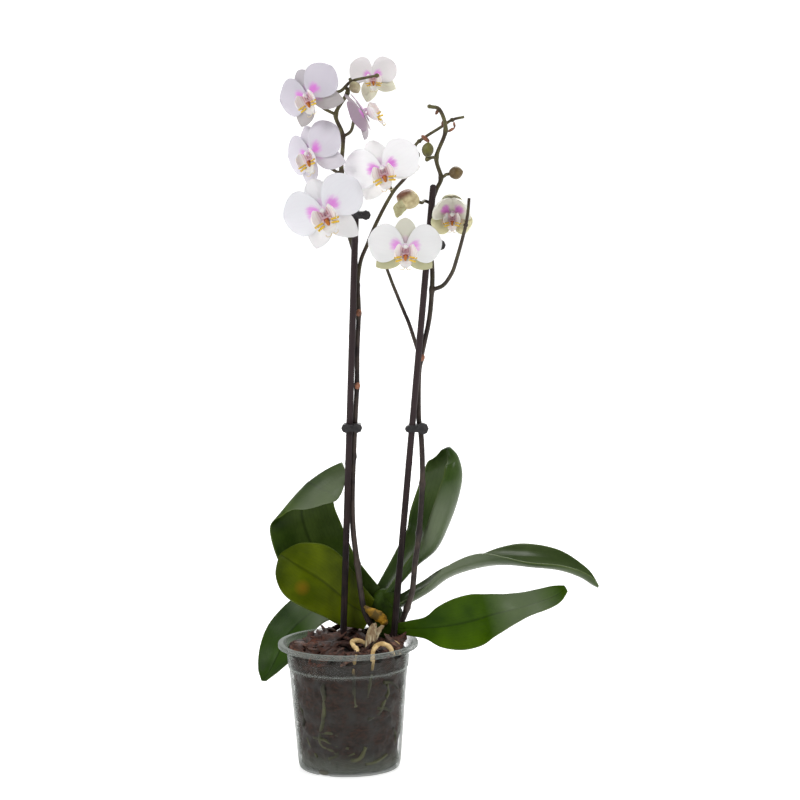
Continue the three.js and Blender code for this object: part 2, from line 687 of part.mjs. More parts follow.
// Each spike is a main stem with side branches. Every stalk leaves it at one of its points, and
// goes by any points given to the flower or bud of that number. The ends of old stalks stand out
// as small knobs.
const SPIKES = {
  spike_left: {
    main: [
      [24, 19, 113], [17.5, 14.5, 124], [13, 14, 138.5], [8.8, 14, 173.6], [5.6, 15.5, 203],
      [5.2, 16, 232], [6.8, 15.8, 267], [8.9, 14.8, 303], [10.5, 15, 328], [11.2, 15, 359],
      [12.8, 16, 390], [12, 18, 414], [10, 19.5, 440], [6.4, 19, 456], [4.2, 18, 482],
      [0, 16, 511], [1.7, 13, 541], [-4, 10, 560], [6, 8, 578], [4.5, 6.5, 583.3],
    ],
    branches: [
      {
        radius: 1.6,
        route: [
          [12, 18, 414], [15, 18.5, 434], [20.7, 20, 448], [30, 21, 469], [43, 24, 492],
          [56, 26, 507], [65, 22, 523], [62, 20, 529], [66, 18, 536], [84.5, 15, 548],
          [94, 14.5, 554], [104, 13, 556.5],
        ],
      },
      { radius: 1.4, route: [[4.2, 18, 482], [12, 16, 500.5], [17.5, 13, 496.5], [19, 12, 491]] },
      {
        radius: 1.4,
        route: [[-4.6, 8, 578.8], [1.2, 7, 580.5], [9.3, 5, 588], [21.7, 3, 591.2], [31, 1, 593]],
      },
    ],
    flowers: [
      { number: 1, route: [[-4, 10, 560], [-15.4, 7, 566.8]] },
      { number: 2, route: [[6, 8, 578], [6, 22, 579], [14, 30, 585]] },
      { number: 3, route: [[1.7, 13, 541], [8.6, 12, 546]] },
      { number: 4, route: [[0, 16, 511], [-4.6, 15, 511.5], [-16, 14, 520]] },
      { number: 5, route: [[6.4, 19, 456], [-4.1, 14, 460.6]] },
      { number: 6, route: [[43, 24, 492], [38, 16, 505]] },
    ],
    buds: [{ number: 4, route: [[9.3, 5, 588]] }],
    knobs: [[31, 1, 593], [66, 18, 536], [94, 14.5, 554]],
  },
  spike_right: {
    main: [
      [40, 20, 112], [47, 16, 124], [51, 13, 135], [55.6, 10.7, 150], [58.2, 9.7, 174],
      [62, 9.5, 201], [65.3, 9.5, 244], [65, 11, 281], [62.9, 13.6, 300], [63.2, 15, 332],
      [65.2, 15, 350], [72.6, 14.5, 384], [75.3, 13, 410], [75.8, 13.5, 427], [74.5, 15.6, 448],
      [74.3, 16, 468], [76, 16, 483], [80, 15.5, 495], [84, 13, 505.5], [80.3, 10, 523],
      [88.2, 8, 545.6], [83.6, 6, 563], [75, 5, 566.3],
    ],
    branches: [
      {
        radius: 1.7,
        route: [
          [75.3, 13, 410], [85, 8, 414.6], [92.4, 1, 426], [96.5, -6, 439], [100.3, -12, 453],
          [104, -16, 468], [106, -18, 480], [107, -18, 491],
        ],
      },
      {
        radius: 1.6,
        route: [
          [65.2, 15, 350], [56.4, 20, 378], [52, 22, 389], [46, 22, 404], [40, 21, 420],
          [37, 18, 432], [42, 10, 446],
        ],
      },
    ],
    flowers: [
      { number: 7, route: [[37, 18, 432], [42, 10, 446]] },
      { number: 8, route: [[74.3, 16, 468], [80, 20, 472]] },
    ],
    buds: [
      { number: 1, route: [[76, 16, 483], [70, 11.5, 486]] },
      { number: 2, route: [[84, 13, 505.5], [87, 11, 507]] },
      { number: 3, route: [[80.3, 10, 523], [76, 7, 523]] },
    ],
    knobs: [[88.2, 8, 545.6], [75, 5, 566.3], [104, -16, 468]],
  },
};
const KNOB_RADIUS = 2.1;

function stemSolid({ main }, clearance = 0) {
  return rod(main, SPIKE_RADIUS + clearance, SPIKE_TIP_RADIUS + clearance);
}

function spikeSolid(spike) {
  const branches = spike.branches.map(({ route, radius }) => rod(route, radius * 1.1, radius * 0.75));
  const stalk = (route, end) => rod([...route, ...end], STALK_RADIUS, STALK_RADIUS, 4);
  const flowers = spike.flowers.map(({ number, route }) => stalk(route, stalkEnd(FLOWERS[number - 1])));
  const buds = spike.buds.map(({ number, route }) => stalk(route, budStalkEnd(BUDS[number - 1])));
  const knobs = spike.knobs.map((centre) => ball(KNOB_RADIUS, centre, [1, 1, 0.9], 5));
  const whole = join([stemSolid(spike), ...branches, ...flowers, ...buds, ...knobs]);
  return cut(whole, [crownSolid(GAP)]);
}

// ---------------------------------------------------------------- clips

// Wheel clips hold each spike to its stake, and a smaller one with a round grip sits near the
// top of each stake. A clip is cut away round the stake and the spike that it holds. Its wheels
// are [x, radius], its sides are the two ends of its bar and its back is the bar's far side.
const CLIPS = {
  clip_left_low: {
    stake: 'left', spike: 'spike_left', level: 293, sides: [-1.2, 13.6], back: 18,
    wheels: [[0.8, 4], [10.6, 4]],
  },
  clip_right_low: {
    stake: 'right', spike: 'spike_right', level: 292, sides: [54, 67.5], back: 15,
    wheels: [[66.2, 5], [54, 3]],
  },
  clip_left_high: {
    stake: 'left', spike: 'spike_left', level: 475, sides: [7.3, 20], back: 15.8,
    wheels: [[20.2, 4.1]],
  },
  clip_right_high: {
    stake: 'right', spike: 'spike_right', level: 449, sides: [69, 83], back: 12.6,
    wheels: [[82.9, 4.4]],
  },
};
const CLIP_HEIGHT = 6;

function clipSolid({ wheels, level, stake, spike, sides, back }) {
  const front = STAKES[stake][1][1] - 5.5;
  const block = new THREE.BoxGeometry(sides[1] - sides[0], back - front, CLIP_HEIGHT);
  block.translate((sides[0] + sides[1]) / 2, (front + back) / 2, level);
  const discs = wheels.map(([x, radius]) => {
    const disc = new THREE.CylinderGeometry(radius, radius, 5, 8);
    return solid(disc.translate(x, front + 1.5, level));
  });
  const held = [stakeSolid(STAKES[stake], GAP), stemSolid(SPIKES[spike], GAP)];
  return cut(join([solid(block), ...discs]), held);
}

// ---------------------------------------------------------------- assembly

const clearPlastic = { color: 0xb9bdbb, roughness: 0.35 };
const barkBrown = { color: 0x3b2018, roughness: 0.9 };
const leafGreen = { color: 0x2f4d1e, roughness: 0.35 };
const crownGreen = { color: 0x34501f, roughness: 0.5 };
const rootPale = { color: 0xb9a274, roughness: 0.8 };
const oldYellow = { color: 0xb07a1e, roughness: 0.6 };
const sheathBeige = { color: 0xb9ab8c, roughness: 0.85 };
const stakeBrown = { color: 0x2c2022, roughness: 0.45 };
const spikeGreen = { color: 0x3c3f2a, roughness: 0.5 };
const clipBlack = { color: 0x141414, roughness: 0.4 };
const petalWhite = { color: 0xe9e6ea, roughness: 0.5 };
const lipYellow = { color: 0xd9a63e, roughness: 0.5 };
const budGreen = { color: 0x8a8146, roughness: 0.55 };

const group = new THREE.Group();

group.add(mesh('pot', potSolid(), clearPlastic));
const grownStakes = Object.values(STAKES).map((ends) => stakeSolid(ends, GAP));
const barkHoles = [crownSolid(GAP), rootsSolid(GAP), sheathSolid(GAP), ...grownStakes];
group.add(mesh('bark', cut(barkSolid(), barkHoles), barkBrown));
group.add(mesh('crown', crownSolid(), crownGreen));
group.add(mesh('roots', cut(rootsSolid(), [crownSolid(GAP), ...grownStakes]), rootPale));

Object.entries(LEAVES).forEach(([name, leaf]) => group.add(mesh(name, leafSolid(leaf), leafGreen)));
group.add(mesh('old_leaf', oldLeafSolid(), oldYellow));
group.add(mesh('dry_sheath', cut(sheathSolid(), [crownSolid(GAP), rootsSolid(GAP)]), sheathBeige));

Object.entries(STAKES).forEach(([name, ends]) => {
  group.add(mesh(`stake_${name}`, stakeSolid(ends), stakeBrown));
});

Object.entries(SPIKES).forEach(([name, spike]) => group.add(mesh(name, spikeSolid(spike), spikeGreen)));

Object.entries(CLIPS).forEach(([name, clip]) => group.add(mesh(name, clipSolid(clip), clipBlack)));

FLOWERS.forEach((flower, i) => {
  const frame = flowerFrame(flower);
  frame.add(mesh(`bloom_${i + 1}`, flowerSolid(flower), petalWhite));
  frame.add(mesh(`lip_${i + 1}`, lipSolid(flower), lipYellow));
  group.add(frame);
});

BUDS.forEach((bud, i) => {
  const frame = budFrame(bud);
  frame.add(mesh(`bud_${i + 1}`, budSolid(bud), budGreen));
  group.add(frame);
});

export default group;
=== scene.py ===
import math

import bmesh
import bpy
import numpy as np
from mathutils import Matrix, Vector


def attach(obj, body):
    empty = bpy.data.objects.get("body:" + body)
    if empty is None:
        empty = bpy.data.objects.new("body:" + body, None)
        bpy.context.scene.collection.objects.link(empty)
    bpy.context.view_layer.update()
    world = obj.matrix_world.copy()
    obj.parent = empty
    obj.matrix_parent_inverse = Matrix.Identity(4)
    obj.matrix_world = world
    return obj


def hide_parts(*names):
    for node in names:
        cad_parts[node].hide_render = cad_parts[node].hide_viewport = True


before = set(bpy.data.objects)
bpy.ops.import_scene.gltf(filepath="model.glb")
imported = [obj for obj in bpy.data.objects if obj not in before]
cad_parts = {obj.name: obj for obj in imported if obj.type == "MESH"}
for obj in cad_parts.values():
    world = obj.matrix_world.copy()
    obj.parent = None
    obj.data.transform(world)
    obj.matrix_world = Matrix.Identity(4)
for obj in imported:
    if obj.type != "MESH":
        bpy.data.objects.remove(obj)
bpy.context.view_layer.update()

# ------------------------------------------------------------------ viewpoint
# A long lens a little over three metres away, somewhat above the plant and looking slightly down
# on it, as the photograph was taken.

MM = 0.001  # sizes are written in millimetres, and become metres when a thing is made
CAMERA_PLACE = (47.09, -3228.36, 823.32)
CAMERA_DOWN, CAMERA_ROLL = 8.9, -0.7  # degrees
LENS, SENSOR, FARTHEST = 173.25, 36.0, 50

view = bpy.data.cameras.new("viewpoint")
view.lens, view.sensor_width, view.clip_end = LENS, SENSOR, FARTHEST
viewpoint = bpy.data.objects.new("viewpoint", view)
viewpoint.matrix_world = (
    Matrix.Translation([value * MM for value in CAMERA_PLACE])
    @ Matrix.Rotation(math.radians(90 - CAMERA_DOWN), 4, "X")
    @ Matrix.Rotation(math.radians(CAMERA_ROLL), 4, "Z")
)
bpy.context.scene.collection.objects.link(viewpoint)
bpy.context.scene.camera = viewpoint


# ------------------------------------------------------------------ studio
# A plain pale floor under even white light, with a broad soft lamp high on each side and one
# behind, which puts a grey sheen on the upper faces of the leaves.

FLOOR_HALF, FLOOR_WHITE = 30000, (0.8, 0.8, 0.8, 1)
FLOOR_FADE, FLOOR_GLOW = (-0.5, -0.13), (0.04, 0.5)  # metres in front of the pot, glow there
FLOOR_FAR, FLOOR_FAR_GLOW = (0.5, 6.0), (0.0, 0.3)  # added far behind it
WALL_TURN, WALL_GLOW = (-0.4, 0.8), (0.05, 1.1)  # from in front to behind
LAMPS = {
    # place, size and power in watts
    "lamp_left": ((-1900, -1700, 2300), 1500, 50),
    "lamp_right": ((2100, -1300, 1900), 1400, 33),
    "lamp_back": ((300, 2200, 2300), 1800, 55),
}
LAMP_TARGET = (0, 0, 350)


def node(tree, kind, inputs=(), **settings):
    """A shader node of that kind. Each input is linked if its value is a socket, or else set."""
    made = tree.nodes.new("ShaderNode" + kind)
    for name, value in settings.items():
        setattr(made, name, value)
    for name, value in dict(inputs).items():
        if isinstance(value, bpy.types.NodeSocket):
            tree.links.new(value, made.inputs[name])
        else:
            made.inputs[name].default_value = value
    return made


def feed(target, **sockets):
    """Links outputs to a node's inputs of those names."""
    for name, socket in sockets.items():
        target.id_data.links.new(socket, target.inputs[name.replace("_", " ")])


def calc(tree, operation, *values):
    """The result of one operation on values or outputs."""
    return node(tree, "Math", dict(enumerate(values)), operation=operation).outputs[0]


def stretch(tree, value, low, high, to_low=0.0, to_high=1.0):
    """A value mapped from one range to another and held within it."""
    return node(tree, "MapRange", {"Value": value, "From Min": low, "From Max": high,
                                   "To Min": to_low, "To Max": to_high}).outputs["Result"]


def part_of(tree, vector, axis):
    """One coordinate of a vector."""
    return node(tree, "SeparateXYZ", {"Vector": vector}).outputs[axis]


def spot_on(tree):
    """The place of a point on its object, in metres."""
    return node(tree, "TexCoord").outputs["Object"]


def material(name, **values):
    """A new material, its node tree and its shader, with plain values set on the sockets."""
    made = bpy.data.materials.new(name)
    made.use_nodes = True
    shader = made.node_tree.nodes["Principled BSDF"]
    for socket, value in values.items():
        shader.inputs[socket.replace("_", " ")].default_value = value
    return made, made.node_tree, shader


def mesh_object(name, vertices, faces, finish):
    """A smooth object at the origin, in that material, from vertices in millimetres."""
    made = bpy.data.meshes.new(name)
    made.from_pydata((np.asarray(vertices) * MM).tolist(), [], faces)
    made.polygons.foreach_set("use_smooth", np.ones(len(made.polygons), bool))
    made.materials.append(finish)
    thing = bpy.data.objects.new(name, made)
    bpy.context.scene.collection.objects.link(thing)
    return thing


floor_paint, tree, shader = material("lit white floor", Base_Color=FLOOR_WHITE, Roughness=0.9,
                                     Emission_Color=(1, 1, 1, 1))
depthwise = part_of(tree, spot_on(tree), "Y")
glow = stretch(tree, depthwise, *FLOOR_FADE, *FLOOR_GLOW)
far_glow = stretch(tree, depthwise, *FLOOR_FAR, *FLOOR_FAR_GLOW)
feed(shader, Emission_Strength=calc(tree, "ADD", glow, far_glow))
corners = np.array([[-1, -1, 0], [1, -1, 0], [1, 1, 0], [-1, 1, 0]]) * FLOOR_HALF
floor = mesh_object("floor", corners, [[0, 1, 2, 3]], floor_paint)

for name, (place, size, power) in LAMPS.items():
    lamp = bpy.data.lights.new(name, "AREA")
    lamp.size, lamp.energy = size * MM, power
    light = bpy.data.objects.new(name, lamp)
    light.location = Vector(place) * MM
    light.rotation_mode = "QUATERNION"
    light.rotation_quaternion = (Vector(LAMP_TARGET) - Vector(place)).to_track_quat("-Z", "Y")
    bpy.context.scene.collection.objects.link(light)

sky = bpy.data.worlds.new("studio, white behind and dim in front")
sky.use_nodes = True
walls, tree = sky.node_tree.nodes["Background"], sky.node_tree
walls.inputs["Color"].default_value = (1, 1, 1, 1)
depthwise = part_of(tree, node(tree, "TexCoord").outputs["Generated"], "Y")
feed(walls, Strength=stretch(tree, depthwise, *WALL_TURN, *WALL_GLOW))
bpy.context.scene.world = sky
bpy.context.scene.view_settings.view_transform = "Standard"


# ------------------------------------------------------------------ pot
# A clear, slightly milky grow pot, moulded thin from polypropylene: a tapered wall, a stepped band
# under a flat rim, and three arched drain notches cut up from its underside.

POT_HEIGHT = 109
NOTCHES, NOTCH_CELLS, WALL_CELLS = 3, 10, 42  # and the cells across a notch and between two
NOTCH_FIRST, NOTCH_HALF_ANGLE = -121, 8.1  # degrees from +X
NOTCH_FROM_RADIUS, NOTCH_TOP, NOTCH_ROUNDING = 40, 5.2, 1.6
POT_OUTSIDE = [
    (0, 0.6), (20, 0.6), (38, 0.5), (39.9, 0), (40, 0), (42, 0.1), (43.1, 1.2), (43.6, 2.6),
    (44, 4), (44.12, 5.2), (44.3, 7.5), (45.2, 19), (46.8, 39), (46.95, 40), (46.95, 40.6),
    (48.4, 59), (50.1, 80), (50.75, 87), (50.9, 87.6), (51.5, 88.2), (51.65, 88.8), (52.0, 94),
    (52.35, 99), (52.5, 102.6), (52.9, 103.5), (54, 103.9), (59.2, 105.2), (59.9, 105.6),
    (60, 106.4), (60, 108.2), (59.7, 108.8), (59, 109),
]
POT_INSIDE = [
    (56, 109), (55.3, 108.7), (54.8, 107.6), (53.2, 104.6), (51.7, 103.4), (51.5, 102.4),
    (51.3, 99), (51, 94), (50.6, 88.8), (50.3, 88.1), (49.9, 87.5), (49.6, 86), (49.1, 80),
    (47.4, 59), (45.9, 40.6), (45.85, 40), (45.8, 39), (44.2, 19), (43.3, 7.5), (43.1, 5.2),
    (42.95, 4), (42.4, 2.6), (41.7, 1.8), (41, 1.4), (40, 1.3), (39.9, 1.3), (20, 1.3), (0, 1.3),
]
EDGE_FROM, EDGE_MILK = 0.58, 0.8  # where a wall seen aslant starts to look white, and how white
MILK_GREY, MILK_PALE = (0.2, 0.22, 0.2, 1), (0.29, 0.31, 0.29, 1)
# how milky the plastic looks from its foot (0) to its rim (1): it is thicker at the foot, the
# step and the rim
MILKINESS = [(0.0, 0.4), (0.03, 0.16), (0.09, 0.03), (0.16, 0.0), (0.78, 0.0), (0.8, 0.12),
             (0.81, 0.36), (0.825, 0.03), (0.94, 0.03), (0.955, 0.24), (0.975, 0.32), (0.99, 0.42)]


def grid_faces(rows, columns, wrap_rows=False, wrap_columns=False):
    """The four corners of each cell of a grid of points listed row by row."""
    row = np.arange(rows if wrap_rows else rows - 1)[:, None]
    column = np.arange(columns if wrap_columns else columns - 1)[None, :]
    next_row, next_column = (row + 1) % rows, (column + 1) % columns
    cells = [row * columns + column, row * columns + next_column,
             next_row * columns + next_column, next_row * columns + column]
    return np.stack(np.broadcast_arrays(*cells), -1)


def revolved(profile, angles):
    """Points (radius cos angle, radius sin angle, height), a row for each point of the profile."""
    radius, height = np.array(profile, float).T[:, :, None]
    ring = [radius * np.cos(angles), radius * np.sin(angles), height + 0 * angles]
    return np.stack(ring, -1)


def full_turn(steps):
    """Even angles round a whole turn."""
    return np.linspace(0, 2 * np.pi, steps, endpoint=False)


def mark(thing, name, values):
    """Stores a number, three numbers or a colour for each vertex."""
    values = np.asarray(values, float)
    kind, field = {1: ("FLOAT", "value"), 3: ("FLOAT_VECTOR", "vector"),
                   4: ("FLOAT_COLOR", "color")}[values[0].size]
    thing.data.attributes.new(name, kind, "POINT").data.foreach_set(field, values.ravel())


def add_piece(name, mesh, finish, slot, *nodes, merge=0.0, crisp=0, **marks):
    """A finished piece from (vertices, faces, ...). It gets its marks, doubled points closer than
    merge are merged, its faces are turned outwards, and edges sharper than crisp degrees stay
    hard. It rides on the plant and stands for its CAD nodes. Its slot is not used."""
    thing = mesh_object(name, *mesh[:2], finish)
    for label, values in marks.items():
        mark(thing, label, values)
    work = bmesh.new()
    work.from_mesh(thing.data)
    if merge:
        bmesh.ops.remove_doubles(work, verts=work.verts, dist=merge * MM)
    bmesh.ops.recalc_face_normals(work, faces=work.faces)
    work.to_mesh(thing.data)
    work.free()
    if crisp:
        thing.data.set_sharp_from_angle(angle=math.radians(crisp))
    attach(thing, "root")
    if nodes:
        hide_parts(*nodes)


def notched_pot():
    """The closed profile revolved in even steps. Its cells are left out where the notches are,
    from the underside up to their arched tops, and the cut edges are bridged through the wall."""
    sector = 360 / NOTCHES
    in_notch = np.linspace(-NOTCH_HALF_ANGLE, NOTCH_HALF_ANGLE, NOTCH_CELLS + 1)
    between = np.linspace(NOTCH_HALF_ANGLE, sector - NOTCH_HALF_ANGLE, WALL_CELLS + 1)
    steps = np.concatenate([in_notch[:-1], between[:-1]])
    angles = (NOTCH_FIRST + sector * np.arange(NOTCHES)[:, None] + steps).ravel()
    profile = np.array(POT_OUTSIDE + POT_INSIDE, float)
    rows, columns = len(profile), len(angles)
    points = revolved(profile, np.radians(angles))
    cut = (profile[:, 0] >= NOTCH_FROM_RADIUS) & (profile[:, 1] <= NOTCH_TOP)
    outer = np.flatnonzero(cut[:len(POT_OUTSIDE)])
    inner = (len(POT_OUTSIDE) + np.flatnonzero(cut[len(POT_OUTSIDE):]))[::-1]
    within = np.arange(columns) % len(steps)
    for top in (outer[-1], inner[-1]):
        share = np.abs(in_notch / NOTCH_HALF_ANGLE)[np.minimum(within, NOTCH_CELLS)]
        points[top, :, 2] -= np.where(within <= NOTCH_CELLS, NOTCH_ROUNDING * share ** 4, 0)
    keep = np.ones((rows, columns), bool)
    keep[np.ix_(np.r_[outer[:-1], inner[1:]], within < NOTCH_CELLS)] = False
    cells = grid_faces(rows, columns, wrap_columns=True)[keep[:rows - 1]].tolist()
    for start in np.flatnonzero(within == 0):
        edge = [(start + k) % columns for k in range(NOTCH_CELLS + 1)]
        for level in (0, -1):
            a, b = outer[level] * columns, inner[level] * columns
            cells += [[a + p, a + q, b + q, b + p] for p, q in zip(edge, edge[1:])]
        for side in (edge[0], edge[-1]):
            cells += [[corner * columns + side for corner in (o, p, q, i)]
                      for o, p, i, q in zip(outer, outer[1:], inner, inner[1:])]
    return points.reshape(-1, 3), cells


def colour_mix(tree, factor, first, second, blend="MIX"):
    """Two colours mixed by a factor."""
    inputs = {0: factor, 6: first, 7: second}
    return node(tree, "Mix", inputs, data_type="RGBA", blend_type=blend).outputs[2]


def noise(tree, scale, detail, vector=None):
    """Soft noise, over the object's own coordinates unless others are given."""
    vector = spot_on(tree) if vector is None else vector
    inputs = {"Vector": vector, "Scale": scale, "Detail": detail}
    return node(tree, "TexNoise", inputs).outputs["Fac"]


def rising(tree, low, high, to_low=0.0, to_high=1.0):
    """A value mapped from the height of a point on its object, in metres."""
    return stretch(tree, part_of(tree, spot_on(tree), "Z"), low, high, to_low, to_high)


pot_plastic, tree, shader = material("milky clear plastic", Roughness=0.55, IOR=1.35,
                                     Specular_IOR_Level=0.1)
by_height = node(tree, "ValToRGB", {"Fac": rising(tree, 0.0, POT_HEIGHT * MM)})
ramp = by_height.color_ramp.elements
for _ in MILKINESS[2:]:
    ramp.new(0.5)
for stop, (place, value) in zip(ramp, MILKINESS):
    stop.position, stop.color = place, (value, value, value, 1)
grazing = node(tree, "LayerWeight", {"Blend": 0.5}).outputs["Facing"]
edge = stretch(tree, grazing, EDGE_FROM, 1.0, 0.0, EDGE_MILK)
alpha = node(tree, "Math", {0: by_height.outputs["Color"], 1: edge}, use_clamp=True).outputs[0]
milk = colour_mix(tree, noise(tree, 38.0, 4.0), MILK_GREY, MILK_PALE)
feed(shader, Base_Color=milk, Alpha=alpha)
add_piece("grow_pot", notched_pot(), pot_plastic, "pot", "pot", merge=0.001, crisp=50)


# ------------------------------------------------------------------ bark mix
# The pot is filled with damp bark. The mass shows through the wall and between the loose chips,
# which lie on it in a low mound round the plant.

BARK_LEVEL, BARK_REACH = 101, 50.6
MOUND_HEIGHT, MOUND_RADIUS, MOUND_CENTRE = 8, 36, (-4, 28)
MASS_PROFILE = [(0, 1.6), (38.9, 1.6), (42, 4), (42.4, 6), (48.8, 86.5), (49.7, 90),
                (BARK_REACH, BARK_LEVEL)]
MASS_SIDES, MASS_RISE, MASS_ACROSS = 180, 70, 34
# how many chips the relief has, their depth and their slope, on the wall and on the top
WALL_RELIEF, TOP_RELIEF = (420, 1.5, 0.12), (160, 4, 0.15)
RELIEF_RADIUS, RELIEF_FLATTENED, TOP_SUNK = 47, (1, 1, 1.5), 2.5
CHIPS = 120
CHIP_HALF, CHIP_ROUGH, CHIP_TILT, CHIP_BOW = (11, 5.2, 1.5), 0.13, 0.4, 1.2
CHIP_SPREAD, CHIP_REACH, CHIP_LOWEST = 47, 51, 96
CHIP_STEP = 2.4  # radians round the pot from one chip to the next
BANK, BANK_HEADING = 5, 5  # chips banked against the rim, mm, and where most, degrees
FOOT_CHIP, FOOT_CHIP_OUT, FOOT_CHIP_UP = (5, 1.3, 2.2), 42.3, 3  # the chip in the front notch
BARK_RED, BARK_DARK = (0.15, 0.052, 0.03, 1), (0.018, 0.008, 0.006, 1)
BARK_PALE, CREVICE = (0.25, 0.13, 0.085, 1), (0.02, 0.01, 0.008, 1)
# MASS_SHADOW_GREY: the mass's near-black grey, partly damp bark and partly painted shade
MASS_SHADOW_GREY, FOOT_HAZE = (0.016, 0.015, 0.012, 1), (0.1, 0.11, 0.085, 1)
MASS_SHADE, FOOT_CHIP_SHADE = -1, 0.75  # the loose chips' shades run from 0, dark, to 1, pale


def bark_height(x, y):
    """The mound: the level plus a bell curve about the mound's centre."""
    away = np.hypot(x - MOUND_CENTRE[0], y - MOUND_CENTRE[1]) / MOUND_RADIUS
    return BARK_LEVEL + MOUND_HEIGHT * np.exp(-away ** 2)


def broken(points, seeds, depth, tilt, rng):
    """A chippy relief: each point takes the level of its nearest seed, from 0 to depth, plus a
    slope away from that seed of up to tilt."""
    levels = rng.uniform(0, depth, len(seeds))
    slopes = rng.normal(0, tilt, seeds.shape)
    apart = ((points[:, None, :] - seeds[None]) ** 2).sum(-1)
    nearest = apart.argmin(1)
    offset = points - seeds[nearest]
    return np.clip(levels[nearest] + (offset * slopes[nearest]).sum(-1), 0, depth * 1.4)


def travelled(points):
    """The distance along a row of points to each of them."""
    steps = np.linalg.norm(np.diff(points, axis=0), axis=1)
    return np.concatenate([[0], np.cumsum(steps)])


def closed_tube(rings, *place):
    """Vertices and faces of a tube through rings of points, with a point closing each end. Also
    each vertex's place, if its three numbers are given over the rings."""
    rows, columns = rings.shape[:2]
    points = np.vstack([rings.reshape(-1, 3), rings[0].mean(0), rings[-1].mean(0)])
    k = np.arange(columns)
    after, last = (k + 1) % columns, (rows - 1) * columns
    foot = np.stack([np.full(columns, rows * columns), after, k], -1)
    head = np.stack([np.full(columns, rows * columns + 1), last + k, last + after], -1)
    faces = grid_faces(rows, columns, wrap_columns=True).reshape(-1, 4)
    faces = faces.tolist() + foot.tolist() + head.tolist()
    if not place:
        return points, faces
    place = np.stack(np.broadcast_arrays(*place), -1).reshape(-1, 3)
    return points, faces, np.vstack([place, place[0], place[-1]])


def ball(radius, sides, points=12, gap=0.03):
    """Vertices and faces of a ball, from rings that start a small gap (radians) off its poles."""
    angle = np.linspace(gap, 3.14 - gap, points)
    profile = np.stack([radius * np.sin(angle), -radius * np.cos(angle)], -1)
    return closed_tube(revolved(profile, full_turn(sides)))


def bark_mass():
    """The filling revolved from its profile, pushed in by a chippy relief, with the mound on it."""
    rng = np.random.default_rng(11)
    corners = np.array(MASS_PROFILE, float)
    length = travelled(corners)
    along = np.linspace(0, length[-1], MASS_RISE)
    wall = np.stack([np.interp(along, length, side) for side in corners.T], -1)
    across = np.linspace(BARK_REACH, 0, MASS_ACROSS)[1:]
    top = np.stack([across, np.full(len(across), BARK_LEVEL)], -1)
    points = revolved(np.vstack([wall, top]), full_turn(MASS_SIDES))
    rows, columns = points.shape[:2]
    points = points.reshape(-1, 3)
    count, depth, slope = WALL_RELIEF
    turn, lift = rng.uniform(0, 2 * np.pi, count), rng.uniform(4, 100, count)
    seeds = np.stack([RELIEF_RADIUS * np.cos(turn), RELIEF_RADIUS * np.sin(turn), lift], -1)
    push = broken(points * RELIEF_FLATTENED, seeds * RELIEF_FLATTENED, depth, slope, rng)
    on_top = np.arange(len(points)) // columns >= len(wall)
    away = np.hypot(points[:, 0], points[:, 1])
    points[:, :2] *= 1 - (np.where(on_top, 0, push) / np.maximum(away, 1))[:, None]
    count, depth, slope = TOP_RELIEF
    seeds = np.c_[rng.uniform(-50, 50, (count, 2)), np.full(count, BARK_LEVEL)]
    rough = broken(points, seeds, depth, slope, rng) - TOP_SUNK
    raised = bark_height(points[:, 0], points[:, 1]) + rough
    points[:, 2] = np.where(points[:, 2] > BARK_LEVEL - 0.5, raised, points[:, 2])
    return points, grid_faces(rows, columns, wrap_columns=True).reshape(-1, 4).tolist()


def turned(first, second, angle):
    """Two coordinates turned by an angle in their plane."""
    cos, sin = np.cos(angle), np.sin(angle)
    return first * cos - second * sin, first * sin + second * cos


